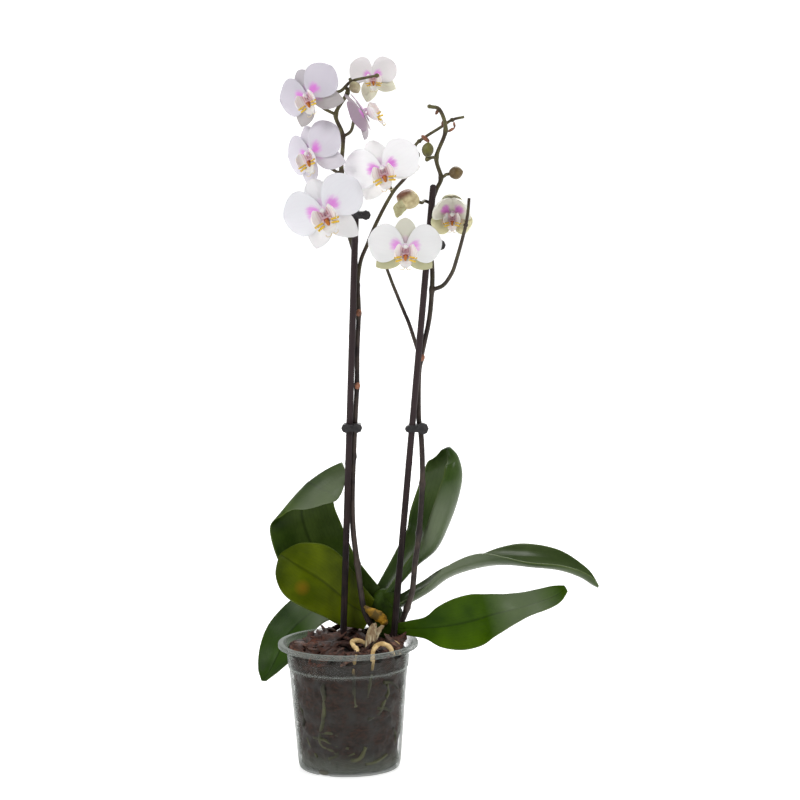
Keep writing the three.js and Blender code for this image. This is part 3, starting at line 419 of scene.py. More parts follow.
def chip_heap():
    """Rough slabs on the mound: each a 5 by 4 by 2 grid of points on a box, thinned at its ends,
    jittered, tilted, turned and set on the surface. Also gives a random shade for each point."""
    rng = np.random.default_rng(5)
    length_steps, width_steps = 5, 4
    u, v = np.meshgrid(np.linspace(-1, 1, length_steps), np.linspace(-1, 1, width_steps),
                       indexing="ij")
    u, v = u.ravel(), v.ravel()
    count = len(u)
    size = rng.uniform(0.5, 1.25, CHIPS)[:, None] ** 1.2
    half = np.concatenate([CHIP_HALF[0] * size,
                           CHIP_HALF[1] * size * rng.uniform(0.6, 1, (CHIPS, 1)),
                           CHIP_HALF[2] * np.sqrt(size) * rng.uniform(0.6, 1.3, (CHIPS, 1))], -1)
    thin = 1 - 0.45 * np.abs(u) ** 3 - 0.3 * np.abs(v) ** 3
    narrow = 1 - 0.25 * np.abs(u) ** 2
    layers = []
    for side in (1, -1):
        flat = np.broadcast_to(np.stack([u, v * narrow, side * thin], -1), (CHIPS, count, 3))
        layers.append(flat + rng.normal(0, CHIP_ROUGH, flat.shape))
    x, y, z = np.moveaxis(np.concatenate(layers, 1) * half[:, None], -1, 0)
    z = z + CHIP_BOW * np.sin(x * 0.25 + rng.uniform(0, 6, (CHIPS, 1)))
    tilt, roll = rng.normal(0, CHIP_TILT, (2, CHIPS, 1))
    turn = rng.uniform(0, 2 * np.pi, (CHIPS, 1))
    x, z = turned(x, z, tilt)
    y, z = turned(y, z, roll)
    x, y = turned(x, y, turn)
    number = np.arange(CHIPS)[:, None]
    share, around = np.sqrt((number + 0.5) / CHIPS), CHIP_STEP * number
    centre_x, centre_y = CHIP_SPREAD * share * np.cos(around), CHIP_SPREAD * share * np.sin(around)
    banked = BANK * share ** 5 * (1 + 0.9 * np.cos(around - math.radians(BANK_HEADING)))
    z = z + bark_height(centre_x, centre_y) + banked + rng.uniform(-1.5, 2.2, (CHIPS, 1))
    x, y = x + centre_x, y + centre_y
    scale = np.minimum(1, CHIP_REACH / np.maximum(np.hypot(x, y), 1))
    points = np.stack([x * scale, y * scale, np.maximum(z, CHIP_LOWEST)], -1)
    upper = grid_faces(length_steps, width_steps).reshape(-1, 4)
    corner = np.arange(count).reshape(length_steps, width_steps)
    rim = np.concatenate([corner[0], corner[1:, -1], corner[-1, -2::-1], corner[-2:0:-1, 0]])
    after = np.roll(rim, -1)
    side = np.stack([rim, rim + count, after + count, after], -1)
    one = np.concatenate([upper, upper[:, ::-1] + count, side])
    faces = (one[None] + 2 * count * number[:, None]).reshape(-1, 4)
    shade = np.repeat(rng.uniform(0, 1, CHIPS), 2 * count)
    return points.reshape(-1, 3), faces.tolist(), shade


def group(name, inputs, outputs):
    """A shader node group with named inputs {name: (type, default)} and outputs {name: type}."""
    made = bpy.data.node_groups.new(name, "ShaderNodeTree")
    for label, (kind, default) in inputs.items():
        socket = made.interface.new_socket(label, in_out="INPUT", socket_type="NodeSocket" + kind)
        socket.default_value = default
    for label, kind in outputs.items():
        made.interface.new_socket(label, in_out="OUTPUT", socket_type="NodeSocket" + kind)
    return made, made.nodes.new("NodeGroupInput").outputs, made.nodes.new("NodeGroupOutput")


def use(tree, which, **inputs):
    """The outputs of a placed group, with its inputs linked or set."""
    named = {name.replace("_", " "): value for name, value in inputs.items()}
    return node(tree, "Group", named, node_tree=which).outputs


def stored(tree, name):
    """The outputs that read the vertices' mark of that name."""
    return node(tree, "Attribute", attribute_name=name).outputs


mottle, given, gives = group(
    "mottle",
    {"Light": ("Color", (1, 1, 1, 1)), "Dark": ("Color", (0, 0, 0, 1)), "Scale": ("Float", 60.0),
     "Low": ("Float", 0.4), "High": ("Float", 0.6)},
    {"Color": "Color", "Mask": "Float"})
mask = stretch(mottle, noise(mottle, given["Scale"], 5.0), given["Low"], given["High"])
feed(gives, Color=colour_mix(mottle, mask, given["Dark"], given["Light"]), Mask=mask)

fibres, given, gives = group(
    "fibres",
    {"Along": ("Vector", (300.0, 300.0, 30.0)), "Height": ("Float", 0.0004)},
    {"Mask": "Float", "Normal": "Vector"})
drawn = node(fibres, "VectorMath", {0: spot_on(fibres), 1: given["Along"]}, operation="MULTIPLY")
strands = noise(fibres, 1.0, 6.0, drawn.outputs["Vector"])
raised = node(fibres, "Bump", {"Height": strands, "Strength": 0.7, "Distance": given["Height"]})
feed(gives, Mask=strands, Normal=raised.outputs["Normal"])

bark_paint, tree, shader = material("damp bark", Roughness=0.85)
patches = use(tree, mottle, Light=BARK_RED, Dark=BARK_DARK, Scale=80.0, Low=0.35, High=0.66)
grain = use(tree, fibres, Along=(260.0, 260.0, 420.0), Height=0.0012)
tone = stored(tree, "shade")["Fac"]
skin = colour_mix(tree, stretch(tree, tone, 0.6, 1.0, 0, 0.55), patches["Color"], BARK_PALE)
skin = colour_mix(tree, stretch(tree, grain["Mask"], 0.42, 0.62, 0.25, 1), CREVICE, skin)
# partly painted shade: the mass is mixed to near-black grey for the dark in the pot and between
# chips
skin = colour_mix(tree, stretch(tree, tone, MASS_SHADE, 0.0, 0.8, 0), skin, MASS_SHADOW_GREY)
skin = colour_mix(tree, rising(tree, 0.003, 0.02, 0.75, 0), skin, FOOT_HAZE)
feed(shader, Base_Color=skin, Normal=grain["Normal"],
     Roughness=stretch(tree, patches["Mask"], 0, 1, 0.6, 0.95))

mass = bark_mass()
add_piece("bark_mass", mass, bark_paint, "bark", "bark", merge=0.001,
          shade=[MASS_SHADE] * len(mass[0]))
chips = chip_heap()
add_piece("bark_chips", chips, bark_paint, "bark", crisp=35, shade=chips[2])

notch = math.radians(NOTCH_FIRST)
outwards = np.array([math.cos(notch), math.sin(notch), 0])
to_notch = np.array([[-outwards[1], outwards[0], 0], outwards, [0, 0, 1]])
points, faces = ball(1, sides=20)
points = points * FOOT_CHIP @ to_notch + FOOT_CHIP_OUT * outwards + [0, 0, FOOT_CHIP_UP]
add_piece("chip_in_notch", (points, faces), bark_paint, "bark",
          shade=[FOOT_CHIP_SHADE] * len(points))


# ------------------------------------------------------------------ crown
# The short green stem between the leaves, wrapped in the feet of old ones. It is firm living
# tissue, and stands in the mix on its roots.

CROWN_CENTRE, CROWN_FOOT, CROWN_TOP = (32.5, 24), 98, 150
CROWN_HALF, CROWN_DEPTH_SHARE = 14, 18 / 28
CROWN_PROFILE = [(0.01, 0), (0.56, 0.003), (0.64, 0.03), (0.71, 0.1), (0.8, 0.2), (0.91, 0.35),
                 (0.99, 0.5), (1, 0.62), (0.96, 0.72), (0.87, 0.81), (0.73, 0.885), (0.55, 0.95),
                 (0.36, 0.985), (0.15, 1), (0.01, 1)]
SHEATHS, SHEATH_EDGE = 3.2, 1.3  # how many in its height, and the edge of each in mm
SHEATH_RISE, SHEATH_TURN = 1.1, 0.25  # how far their edges slant, and its turn in radians
CROWN_SIDES, CROWN_ROWS = 112, 110

flesh_bump, given, gives = group(
    "flesh bump", {"Scale": ("Float", 400.0), "Height": ("Float", 0.0003)}, {"Normal": "Vector"})
cells = noise(flesh_bump, given["Scale"], 3.0)
dimple = node(flesh_bump, "Bump", {"Height": cells, "Strength": 0.5, "Distance": given["Height"]})
feed(gives, Normal=dimple.outputs["Normal"])

crown_paint, tree, shader = material("crown green, darkened for shade", Roughness=0.5, Specular_IOR_Level=0.1)
# partly painted shade: the crown's own dark green made darker for the shade between leaf feet
tint = use(tree, mottle, Light=(0.03, 0.06, 0.003, 1), Dark=(0.01, 0.022, 0.001, 1), Scale=70.0)
ribs = use(tree, fibres, Along=(500.0, 500.0, 20.0), Height=0.0006)
feed(shader, Base_Color=tint["Color"], Normal=ribs["Normal"])

angles, share = full_turn(CROWN_SIDES), np.linspace(0, 1, CROWN_ROWS)
corner_radius, corner_share = np.array(CROWN_PROFILE).T
profile = np.stack([np.interp(share, corner_share, corner_radius) * CROWN_HALF,
                    CROWN_FOOT + share * (CROWN_TOP - CROWN_FOOT)], -1)
rings = revolved(profile, angles)
slanted = SHEATHS * share[:, None] + SHEATH_RISE * np.abs(np.cos(angles + SHEATH_TURN))
lap = (slanted % 1 - 0.5) * SHEATH_EDGE * np.minimum(1, profile[:, :1] / CROWN_HALF)
rings[..., 0] += lap * np.cos(angles)
rings[..., 1] += lap * np.sin(angles)
rings = rings * [1, CROWN_DEPTH_SHARE, 1] + [*CROWN_CENTRE, 0]
add_piece("crown_stem", closed_tube(rings), crown_paint, "crown", "crown")


# ------------------------------------------------------------------ roots
# Thick aerial roots in a spongy grey skin, green where they are wet behind the wall. They leave a
# knot under the crown, come out on the bark and run down inside the pot.

ROOT_RADIUS, THIN_RADIUS = 2.1, 1.5
KNOT, KNOT_RADIUS = (30, 20, 92), 5
# the outside of the wall from its foot's corner to the step, and how far inside it roots lie
FOOT_RADIUS, FOOT_CORNER, STEP_RADIUS, STEP_HEIGHT, WALL_CLEAR = 44, 4, 50.8, 87.5, 1.6
# points of x, y, z, or of x and height where a root lies against the front of the wall
ROOTS = [
    [KNOT, (38, -4, 96), (38, -30, 106), (34.5, -36, 112.5), (27.5, -36.5, 114.5),
     (22, -38.5, 109.5), (21, 99), (19, 86), (16, 70)],
    [KNOT, (20, 4, 100), (11, -8, 110.5), (4, -14, 112), (5, -23, 110), (8, -31, 108),
     (6, -39, 104), (5, 95), (5, 80), (6, 62)],
    [KNOT, (33, 4, 103), (36, -8, 110), (43, -16, 107.5), (43, -17, 94), (36, -24, 78),
     (30, 64), (26, 55), (16, 50)],
    [KNOT, (0, -6, 86), (-20, 82), (-20, 68), (-21, 50), (-24, 30), (-14, 23), (2, 15), (10, 17),
     (14, 26)],
]
THIN_ROOTS = [
    [(-25, 37), (-17, 38.5), (-9, 37)], [(-30, 33), (-22, 32), (-12, 28), (0, 25)],
    [(-35, 31), (-32, 24), (-27, 15)], [(-17, 15), (-9, 19), (-2, 19), (5, 21)],
    [(24, 59), (30, 58), (36, 54)], [(14, 10.5), (23, 11.5), (32, 16)],
    [(37, 38), (39.5, 31), (39, 24)], [(30, 81), (37, 79), (42, 72)],
    [(33, 79), (34, 71), (31, 64)], [(-41, 58), (-38, 49), (-39, 40)],
]


def spline(rows, s):
    """Points and slopes at s (0 to 1) on the smooth curve through the rows. Between two rows it
    is a cubic whose slope at a row is half the step from the row before to the row after."""
    rows = np.asarray(rows, float)
    padded = np.vstack([2 * rows[0] - rows[1], rows, 2 * rows[-1] - rows[-2]])
    where = np.clip(s, 0, 1) * (len(rows) - 1)
    first = np.minimum(where.astype(int), len(rows) - 2)
    t = (where - first)[:, None]
    before, start, end, after = (padded[first + k] for k in range(4))
    out, into = (end - before) / 2, (after - start) / 2
    square, cube = 3 * (end - start) - 2 * out - into, 2 * (start - end) + out + into
    return start + t * (out + t * (square + t * cube)), out + t * (2 * square + 3 * t * cube)


def unit(vectors):
    """Vectors scaled to length one."""
    return vectors / np.maximum(np.linalg.norm(vectors, axis=-1, keepdims=True), 1e-9)


def rod(route, start, end, sides=12, steps=8, swell=None):
    """A round rod along the smooth curve through its route. Its radius goes evenly from start to
    end, times swell(points) where given. Its sections are turned from the direction that the
    route keeps furthest from. Also gives each vertex's place: along, around and 0."""
    s = np.linspace(0, 1, steps * (len(route) - 1) + 1)
    centre, slope = spline(route, s)
    along = unit(slope)
    across = np.linalg.eigh(along.T @ along)[1][:, 0]
    side = unit(across - (along @ across)[:, None] * along)
    other = np.cross(along, side)
    radius = (start + (end - start) * s) * (1 if swell is None else swell(centre))
    turn = full_turn(sides)
    rings = centre[:, None] + radius[:, None, None] * (
        side[:, None] * np.cos(turn)[None, :, None] + other[:, None] * np.sin(turn)[None, :, None])
    return closed_tube(rings, travelled(centre)[:, None], turn / (2 * np.pi), 0.0)


def joined(parts):
    """Several (vertices, faces, ...) as one, each further item stacked."""
    offset, faces = 0, []
    for part in parts:
        faces += [[corner + offset for corner in face] for face in part[1]]
        offset += len(part[0])
    return [np.vstack([part[0] for part in parts]), faces,
            *[np.concatenate(items) for items in zip(*[part[2:] for part in parts])]]


def root(route, radius, taper, sides, steps):
    """A knobbly root through its points. On the wall, it lies as far forward as the wall's circle
    at that height, less the root's radius, lets it at its x."""
    placed = []
    for point in route:
        if len(point) == 2:
            x, height = point
            share = (height - FOOT_CORNER) / (STEP_HEIGHT - FOOT_CORNER)
            reach = FOOT_RADIUS + (STEP_RADIUS - FOOT_RADIUS) * share - WALL_CLEAR - radius
            point = (x, -math.sqrt(max(reach * reach - x * x, 1)), height)
        placed.append(point)
    return rod(placed, radius, radius * taper, sides, steps, knobbly)[:2]


def knobbly(centre):
    """A root's uneven thickness: two slow waves along its height and reach."""
    x, z = centre[:, 0], centre[:, 2]
    return 1 + 0.07 * np.sin(z * 0.55 + x * 0.4) + 0.05 * np.sin(x * 1.1)


root_paint, tree, shader = material("root skin", Roughness=0.75)
wet = rising(tree, 0.09, 0.106, 1, 0)
dry = use(tree, mottle, Light=(0.9, 0.66, 0.32, 1), Dark=(0.5, 0.32, 0.12, 1), Scale=150.0)
green = use(tree, mottle, Light=(0.08, 0.083, 0.038, 1), Dark=(0.022, 0.021, 0.014, 1),
            Scale=32.0, Low=0.4)
threads = use(tree, fibres, Along=(500.0, 500.0, 500.0), Height=0.0005)
feed(shader, Base_Color=colour_mix(tree, wet, dry["Color"], green["Color"]),
     Normal=threads["Normal"])

points, faces = ball(KNOT_RADIUS, sides=20, points=14, gap=0.02)
rods = [root(route, ROOT_RADIUS, taper=0.9, sides=14, steps=10) for route in ROOTS]
rods.append((points + KNOT, faces))
add_piece("aerial_roots", joined(rods), root_paint, "root", "roots")
thin_rods = [root(route, THIN_RADIUS, taper=0.8, sides=10, steps=8) for route in THIN_ROOTS]
add_piece("thin_roots", joined(thin_rods), root_paint, "root")


# ------------------------------------------------------------------ leaves
# Six thick strap leaves in two ranks, glossy dark green, each with a sunk midrib and faint veins
# along it. Their feet clasp the crown.

LEAF_THICKNESS, LEAF_GROOVE, LEAF_RIPPLE = 1.8, 0.35, 0.25
# painted reflection: grey mixed into a stretch of each leaf for the backdrop's sheen on it
PAINTED_SHEEN_GREY, PAINTED_SHEEN_STRENGTH = (0.175, 0.21, 0.135, 1), 0.62
MARGIN_GREEN = (0.12, 0.17, 0.03, 1)
BLEMISHED, BLEMISH, BLEMISH_ORANGE = "leaf_2", (-39, 21, 152), (0.3, 0.12, 0.01, 1)
LEAVES = {
    # curl of the left and the right half, light and dark green, gloss, middle and half length of
    # its stretch of painted sheen (grey painted in for the backdrop's reflection) in mm along it
    # and the half that it keeps to (-1, 1 or 0 for both) or None, and rows of x, y, z, half
    # width, turn and lean in degrees
    "leaf_1": ((0.35, 0.35), (0.075, 0.12, 0.02), (0.009, 0.026, 0.001), 0.06, (165, 24, 0), [
        [22, 26, 138, 14, 243, 0], [3, 31, 149, 21, 230, 0], [-13, 36, 161, 26, 216, 0],
        [-26, 41, 176, 31, 208, 0], [-33, 44, 190, 32, 205, 0], [-39, 47, 210, 31, 204, 0],
        [-38, 43, 228, 33, 213, 0], [-34, 33, 240, 35, 221, 0], [-28, 24, 241, 31, 220, 0],
        [-20.5, 18, 238, 25, 219, 0], [-12.5, 11, 236, 14.5, 222, 0], [-9, 8, 233, 7, 222, 0],
        [-8, 7, 231, 2, 222, 0]]),
    # leaf_2's light yellow-green is partly painted light: brighter and yellower for backlight
    # through it
    "leaf_2": ((0.25, 0.25), (0.13, 0.17, 0.002), (0.036, 0.055, 0.001), 0.03, None, [
        [20, 22, 126, 13, 240, 0], [3, 21, 136, 20, 236, 0], [-6.5, 20.5, 145, 23, 234, 0],
        [-20.5, 20.5, 157, 28, 234, 0], [-33, 22.5, 165, 29, 233, 0], [-43, 26, 170.5, 25, 233, 0],
        [-52, 30, 176, 16, 233, 0], [-58, 33, 179, 2, 233, 0]]),
    "leaf_3": ((0.4, 0.4), (0.04, 0.09, 0.006), (0.012, 0.034, 0.002), 0.03, (60, 40, 0), [
        [28, 26, 119, 4, -95, -60], [17, 34, 126, 9, -92, -58], [0, 48, 129.5, 16, -90, -54],
        [-20, 67, 127, 21.5, -80, -50], [-37, 75, 115, 23, -60, -48], [-54, 71, 99, 21.5, -36, -42],
        [-62, 67, 83, 19.5, -12, -38], [-69, 61.5, 70, 12.5, 5, -36], [-74.5, 57, 62, 3, 10, -36]]),
    "leaf_4": ((2.5, 0.75), (0.09, 0.14, 0.04), (0.016, 0.042, 0.003), 0.3, (84, 46, -1), [
        [31, 28, 140, 12, 130, 40], [44, 31, 155, 16, 140, 45], [58, 35, 170, 22, 140, 48],
        [74, 37, 184, 31, 150, 52], [84, 38, 204, 36, 165, 52], [92, 38, 226, 37, 172, 52],
        [96, 37, 247, 34, 178, 50], [93, 35, 263, 26, 190, 46], [88, 33, 271, 8, 200, 42]]),
    "leaf_5": ((1.3, 1.3), (0.09, 0.13, 0.04), (0.03, 0.055, 0.012), 0.4, (70, 56, 0), [
        [34, 26, 126, 9, 90, 80], [44, 26, 133, 11, 90, 76], [55, 26, 138.5, 12, 90, 76],
        [71, 23.5, 148, 13.5, 90, 82], [88, 19, 161, 15.5, 90, 100], [112, 13, 170, 18, 90, 106],
        [136, 7, 174, 19, 90, 82], [156, 1, 175, 19, 90, 66], [179, -5, 173, 17, 90, 68],
        [198, -9, 166, 13, 90, 80], [208, -12, 160, 9, 90, 88], [214, -14, 157, 2, 90, 90]]),
    "leaf_6": ((0.3, 0.3), (0.06, 0.125, 0.001), (0.014, 0.042, 0.0005), 0.04, (118, 36, 0), [
        [42, 11.5, 117, 5, 90, 0], [54, 11, 117.5, 7, 90, 0], [67, 9, 118, 10, 92, 0],
        [79, 6, 119.5, 18, 96, 0], [95, 1, 123, 23, 100, 0], [111, -5, 128, 23, 102, 4],
        [124, -10, 133, 18.5, 103, 15], [138, -16, 137.5, 16, 105, 40],
        [152, -21, 142, 17, 108, 62],
        [168, -26, 148, 15, 112, 64], [179, -29, 153.5, 11, 116, 58], [186, -31, 159, 4, 120, 50]]),
}


def thin_blade(front, back, along, u):
    """A thin closed blade from its two faces, with a row of points for each step along it and a
    point for each u across. The place of each vertex is along, u, and 1 in front or -1 behind."""
    rings = np.concatenate([front, back[:, ::-1]], 1)
    way = np.repeat([1.0, -1.0], len(u))
    return closed_tube(rings, along[:, None], np.concatenate([u, u[::-1]]), way)


def ribbon(rows, curl, thickness, steps, across, groove=0.0, ripple=0.0):
    """A blade that follows the smooth curve through the rows. Across u (-1 to 1), each half of
    its section is an arc that turns through its curl. It thins to its margins, is sunk by groove
    along its midrib, and its margins wave by ripple. It curls towards its front."""
    rows = np.asarray(rows, float)
    s = np.linspace(0, 1, steps + 1)
    centre, slope = spline(rows[:, :3], s)
    width, turn, lean = spline(rows[:, 3:6], s)[0].T
    turn, lean = np.radians(turn), np.radians(lean)
    side = np.stack([np.cos(lean) * np.cos(turn), np.sin(lean), np.cos(lean) * np.sin(turn)], -1)
    up = unit(np.cross(unit(slope), side))
    u = np.linspace(-1, 1, across + 1)
    bend = np.where(u < 0, curl[0], curl[1])
    angle = bend * np.abs(u)
    width = np.maximum(width, 0.4)[:, None]
    margin = np.abs(u) ** 5
    crease = np.exp(-(u / 0.09) ** 2)
    wave = ripple * margin * np.sin(s[:, None] * 23 + 2 * np.sign(u))
    faces = []
    for way in (1, -1):
        offset = way * thickness / 2 * (1 - 0.6 * margin) - groove * crease + wave
        out = np.sign(u) * (width * np.sin(angle) / bend - offset * np.sin(angle))
        rise = width * (1 - np.cos(angle)) / bend + offset * np.cos(angle)
        sideways = side[:, None] * out[..., None]
        faces.append(centre[:, None] + sideways + up[:, None] * rise[..., None])
    return thin_blade(*faces, travelled(centre), u)


veins, given, gives = group(
    "veins",
    {"Count": ("Float", 24.0), "Waver": ("Float", 0.02), "Low": ("Float", 0.7),
     "High": ("Float", 1.0)},
    {"Mask": "Float", "Midrib": "Float", "Across": "Float", "Along": "Float", "Face": "Float"})
place = stored(veins, "place")["Vector"]
parts = node(veins, "SeparateXYZ", {"Vector": place}).outputs
drift = calc(veins, "MULTIPLY", noise(veins, 30.0, 2.0), given["Waver"])
phase = calc(veins, "MULTIPLY", calc(veins, "ADD", parts["Y"], drift), given["Count"])
middle = calc(veins, "ABSOLUTE", parts["Y"])
feed(gives, Mask=stretch(veins, calc(veins, "COSINE", phase), given["Low"], given["High"]),
     Midrib=stretch(veins, middle, 0.0, 0.07, 1, 0), Across=middle, Along=parts["X"],
     Face=parts["Z"])


def leaf_green(name, light, dark, gloss, painted_sheen):
    """The skin of one leaf: mottled, darker along its veins and midrib and pale at its margin,
    with its painted sheen (grey painted in for a reflection) and its blemish, if it has them."""
    paint, tree, shader = material(f"{name} green", Roughness=0.34, Coat_Weight=gloss,
                                   Coat_Roughness=0.22, Specular_IOR_Level=0.06)
    green = use(tree, mottle, Light=(*light, 1), Dark=(*dark, 1), Scale=26.0, Low=0.3, High=0.75)
    lines = use(tree, veins, Count=60.0, Waver=0.05)
    skin = green["Color"]
    for line, low, most, colour in (("Mask", 0, 0.1, (*np.multiply(dark, 0.55), 1)),
                                    ("Midrib", 0, 0.55, (*np.multiply(dark, 0.4), 1)),
                                    ("Across", 0.95, 0.5, MARGIN_GREEN)):
        skin = colour_mix(tree, stretch(tree, lines[line], low, 1, 0, most), skin, colour)
    # painted reflection: the backdrop's grey sheen on the upper face, mixed into the leaf's colour
    if painted_sheen:
        at, half, side = painted_sheen
        beyond = calc(tree, "ABSOLUTE", calc(tree, "SUBTRACT", lines["Along"], at))
        sheen_amount = stretch(tree, beyond, 0.3 * half, half, PAINTED_SHEEN_STRENGTH, 0)
        if side:
            across = stored(tree, "place")["Vector"]
            kept = stretch(tree, part_of(tree, across, "Y"), -0.15 * side, 0.25 * side)
            sheen_amount = calc(tree, "MULTIPLY", sheen_amount, kept)
        skin = colour_mix(tree, sheen_amount, skin, PAINTED_SHEEN_GREY)
    if name == BLEMISHED:
        ends = {0: spot_on(tree), 1: [value * MM for value in BLEMISH]}
        away = node(tree, "VectorMath", ends, operation="DISTANCE").outputs["Value"]
        skin = colour_mix(tree, stretch(tree, away, 0.002, 0.008, 0.35, 0), skin, BLEMISH_ORANGE)
    pores = use(tree, flesh_bump, Scale=500.0, Height=0.00015)["Normal"]
    relief = node(tree, "Bump", {"Height": lines["Mask"], "Strength": 0.25, "Distance": 0.0002,
                                 "Normal": pores})
    dull = use(tree, mottle, Scale=55.0)["Mask"]
    feed(shader, Base_Color=skin, Normal=relief.outputs["Normal"],
         Roughness=stretch(tree, dull, 0, 1, 0.28, 0.42))
    return paint


for name, (curl, light, dark, gloss, painted_sheen, rows) in LEAVES.items():
    blade = ribbon(rows, curl, LEAF_THICKNESS, steps=90, across=28, groove=LEAF_GROOVE,
                   ripple=LEAF_RIPPLE)
    add_piece(f"{name}_blade", blade, leaf_green(name, light, dark, gloss, painted_sheen), "leaf", name,
              place=blade[2])


# ------------------------------------------------------------------ old leaf and dry sheath
# The lowest leaf has withered to a yellow curl, and the dry foot of another hangs over the bark
# in two papery prongs.

OLD_LEAF = [[32, 13, 123, 4, 60, 0], [27, 9.5, 128, 5, 50, 0], [20.5, 7, 132.5, 4, 50, 0],
            [14.5, 6.5, 138, 1, 50, 0]]
SHEATH = [[22.5, 10, 122, 2, 10, 0], [21, 3, 118, 4, 5, 0], [19.5, -4, 112, 4.5, 5, 0],
          [18, -10, 103, 3.5, 5, 0]]
PRONG = [[30, 8, 120.5, 1.5, -20, 0], [26.5, 3, 117.5, 2.6, -10, 0], [23.5, -3, 112, 2.2, 0, 0],
         [20, -8, 105, 1.5, 0, 0]]
OLD_FOOT, OLD_FOOT_RADIUS = (31, 14.5, 122.5), 3.6

old_paint, tree, shader = material("withered leaf", Roughness=0.6)
faded = use(tree, mottle, Light=(0.62, 0.32, 0.012, 1), Dark=(0.12, 0.075, 0.006, 1), Scale=110.0)
creased = use(tree, fibres, Along=(400.0, 400.0, 120.0), Height=0.0008)
feed(shader, Base_Color=faded["Color"], Normal=creased["Normal"])
points, faces = ball(OLD_FOOT_RADIUS, sides=18, gap=0.02)
withered = ribbon(OLD_LEAF, (0.6, 0.6), thickness=1.6, steps=24, across=12, ripple=0.5)
old_parts = [withered[:2], (points + OLD_FOOT, faces)]
add_piece("withered_leaf", joined(old_parts), old_paint, "old_leaf", "old_leaf")

sheath_paint, tree, shader = material("papery sheath", Roughness=0.85)
beige = use(tree, mottle, Light=(0.72, 0.64, 0.42, 1), Dark=(0.34, 0.26, 0.13, 1), Scale=140.0)
paper = use(tree, fibres, Along=(700.0, 200.0, 90.0), Height=0.0007)
streaks = stretch(tree, paper["Mask"], 0.4, 0.65, 0, 1)
feed(shader, Base_Color=colour_mix(tree, streaks, (0.24, 0.15, 0.08, 1), beige["Color"]),
     Normal=paper["Normal"])
prongs = [ribbon(rows, (0.5, 0.5), thickness=1.2, steps=28, across=12, ripple=0.4)
          for rows in (SHEATH, PRONG)]
add_piece("papery_sheath", joined(prongs), sheath_paint, "sheath", "dry_sheath")


# ------------------------------------------------------------------ stakes
# Two thin canes, stained dark, with a slight bulge at each of their joints. They are pushed into
# the mix beside the spikes, which are clipped to them.

STAKE_RADIUS = 2.8
STAKES = {"stake_left": [[-8.2, 11.5, 16], [11.8, 11.5, 481.5]],
          "stake_right": [[29.8, 5, 16], [77.5, 10, 500]]}
CANE_JOINTS, CANE_JOINT_LENGTH = (150, 262, 371, 452), 1.6
CANE_BULGE, CANE_ROUNDED = 0.06, 1.6


def cane(centre):
    """A cane's thickness: a slight bulge at each of its joints, and a rounded top."""
    up = centre[:, 2]
    apart = (up[:, None] - np.array(CANE_JOINTS)) / CANE_JOINT_LENGTH
    bulge = CANE_BULGE * np.exp(-apart ** 2).sum(1)
    return (1 + bulge) * np.sqrt(np.clip((up[-1] + 0.4 - up) / CANE_ROUNDED, 0.2, 1))


stake_paint, tree, shader = material("stained cane", Roughness=0.5, Specular_IOR_Level=0.15)
stained = use(tree, mottle, Light=(0.018, 0.009, 0.009, 1), Dark=(0.006, 0.003, 0.003, 1),
              Scale=80.0)
lengthwise = use(tree, fibres, Along=(900.0, 900.0, 12.0), Height=0.0003)
cane_colour = colour_mix(tree, stretch(tree, lengthwise["Mask"], 0.5, 0.75, 0, 0.5), stained["Color"],
                  (0.05, 0.034, 0.032, 1))
# the cane turns paler upwards, from 0.17 m to 0.3 m above the floor
cane_colour = colour_mix(tree, rising(tree, 0.17, 0.3, 0, 0.6), cane_colour, (0.06, 0.042, 0.045, 1))
feed(shader, Base_Color=cane_colour, Normal=lengthwise["Normal"])
for name, ends in STAKES.items():
    stake = rod(ends, STAKE_RADIUS, STAKE_RADIUS, sides=20, steps=300, swell=cane)
    add_piece(f"{name}_cane", stake, stake_paint, "stake", name)


# ------------------------------------------------------------------ blooms
# Moth-shaped flowers: three narrow sepals behind two broad petals, white with a magenta flush at
# the heart, round a short white column. Thin living tissue, satin, with fine branching veins.

FLOWERS = [
    # place, turn, lift, roll, size, heading of the petals, headings of the left, right and upper
    # sepals, radius of the sphere that they lie on, flush strength, petal tint, sepal tint; the
    # tints are partly painted shade, one white set greyer on flowers in shade, most on flower 1
    ((-26, -13, 578), -26, 0, 30, 0.96, 22, (128, 128, 0), -65, 1.0, (0.64, 0.61, 0.68),
     (0.45, 0.42, 0.42)),
    ((27, 19, 590.5), 8, 8, 0, 0.7, 30, (165, 120, 48), 45, 0.9, (0.84, 0.81, 0.81),
     (0.82, 0.81, 0.64)),
    ((18.5, 2, 561.5), 80, 30, 10, 0.86, 10, (130, 130, 0), -70, 1.0, (0.36, 0.26, 0.34),
     (0.5, 0.45, 0.48)),
    ((-24.5, -5, 528.5), -38, 0, 28, 1, 20, (130, 130, 0), -65, 1.0, (0.7, 0.67, 0.74),
     (0.68, 0.65, 0.7)),
    ((-14.5, -18, 482), -8, 0, 26, 1.15, 16, (139, 156, 0), -70, 0.9, (0.82, 0.82, 0.86),
     (0.82, 0.81, 0.81)),
    ((35, -10, 516), -4, 2, 16, 1.02, 14, (135, 104, -12), -70, 1.0, (1.0, 0.99, 1.0),
     (0.94, 0.92, 0.9)),
    ((53, -20, 450.5), 3, 2, -2, 0.98, 10, (127, 127, 0), -60, 0.85, (0.84, 0.84, 0.84),
     (0.5, 0.49, 0.28)),
    ((93.5, 14, 474), -4, 0, 0, 1.02, 38, (127, 127, 0), 17, 1.0, (0.84, 0.83, 0.74),
     (0.8, 0.78, 0.5)),
]
PETAL = (33, 34, 2.2, 0.55, 1.1)  # length, width, claw, fullness, swell
SIDE_SEPAL, TOP_SEPAL = (32, 20, 2.2, 0.7, 0.9), (26, 20, 2.2, 0.5, 0.9)
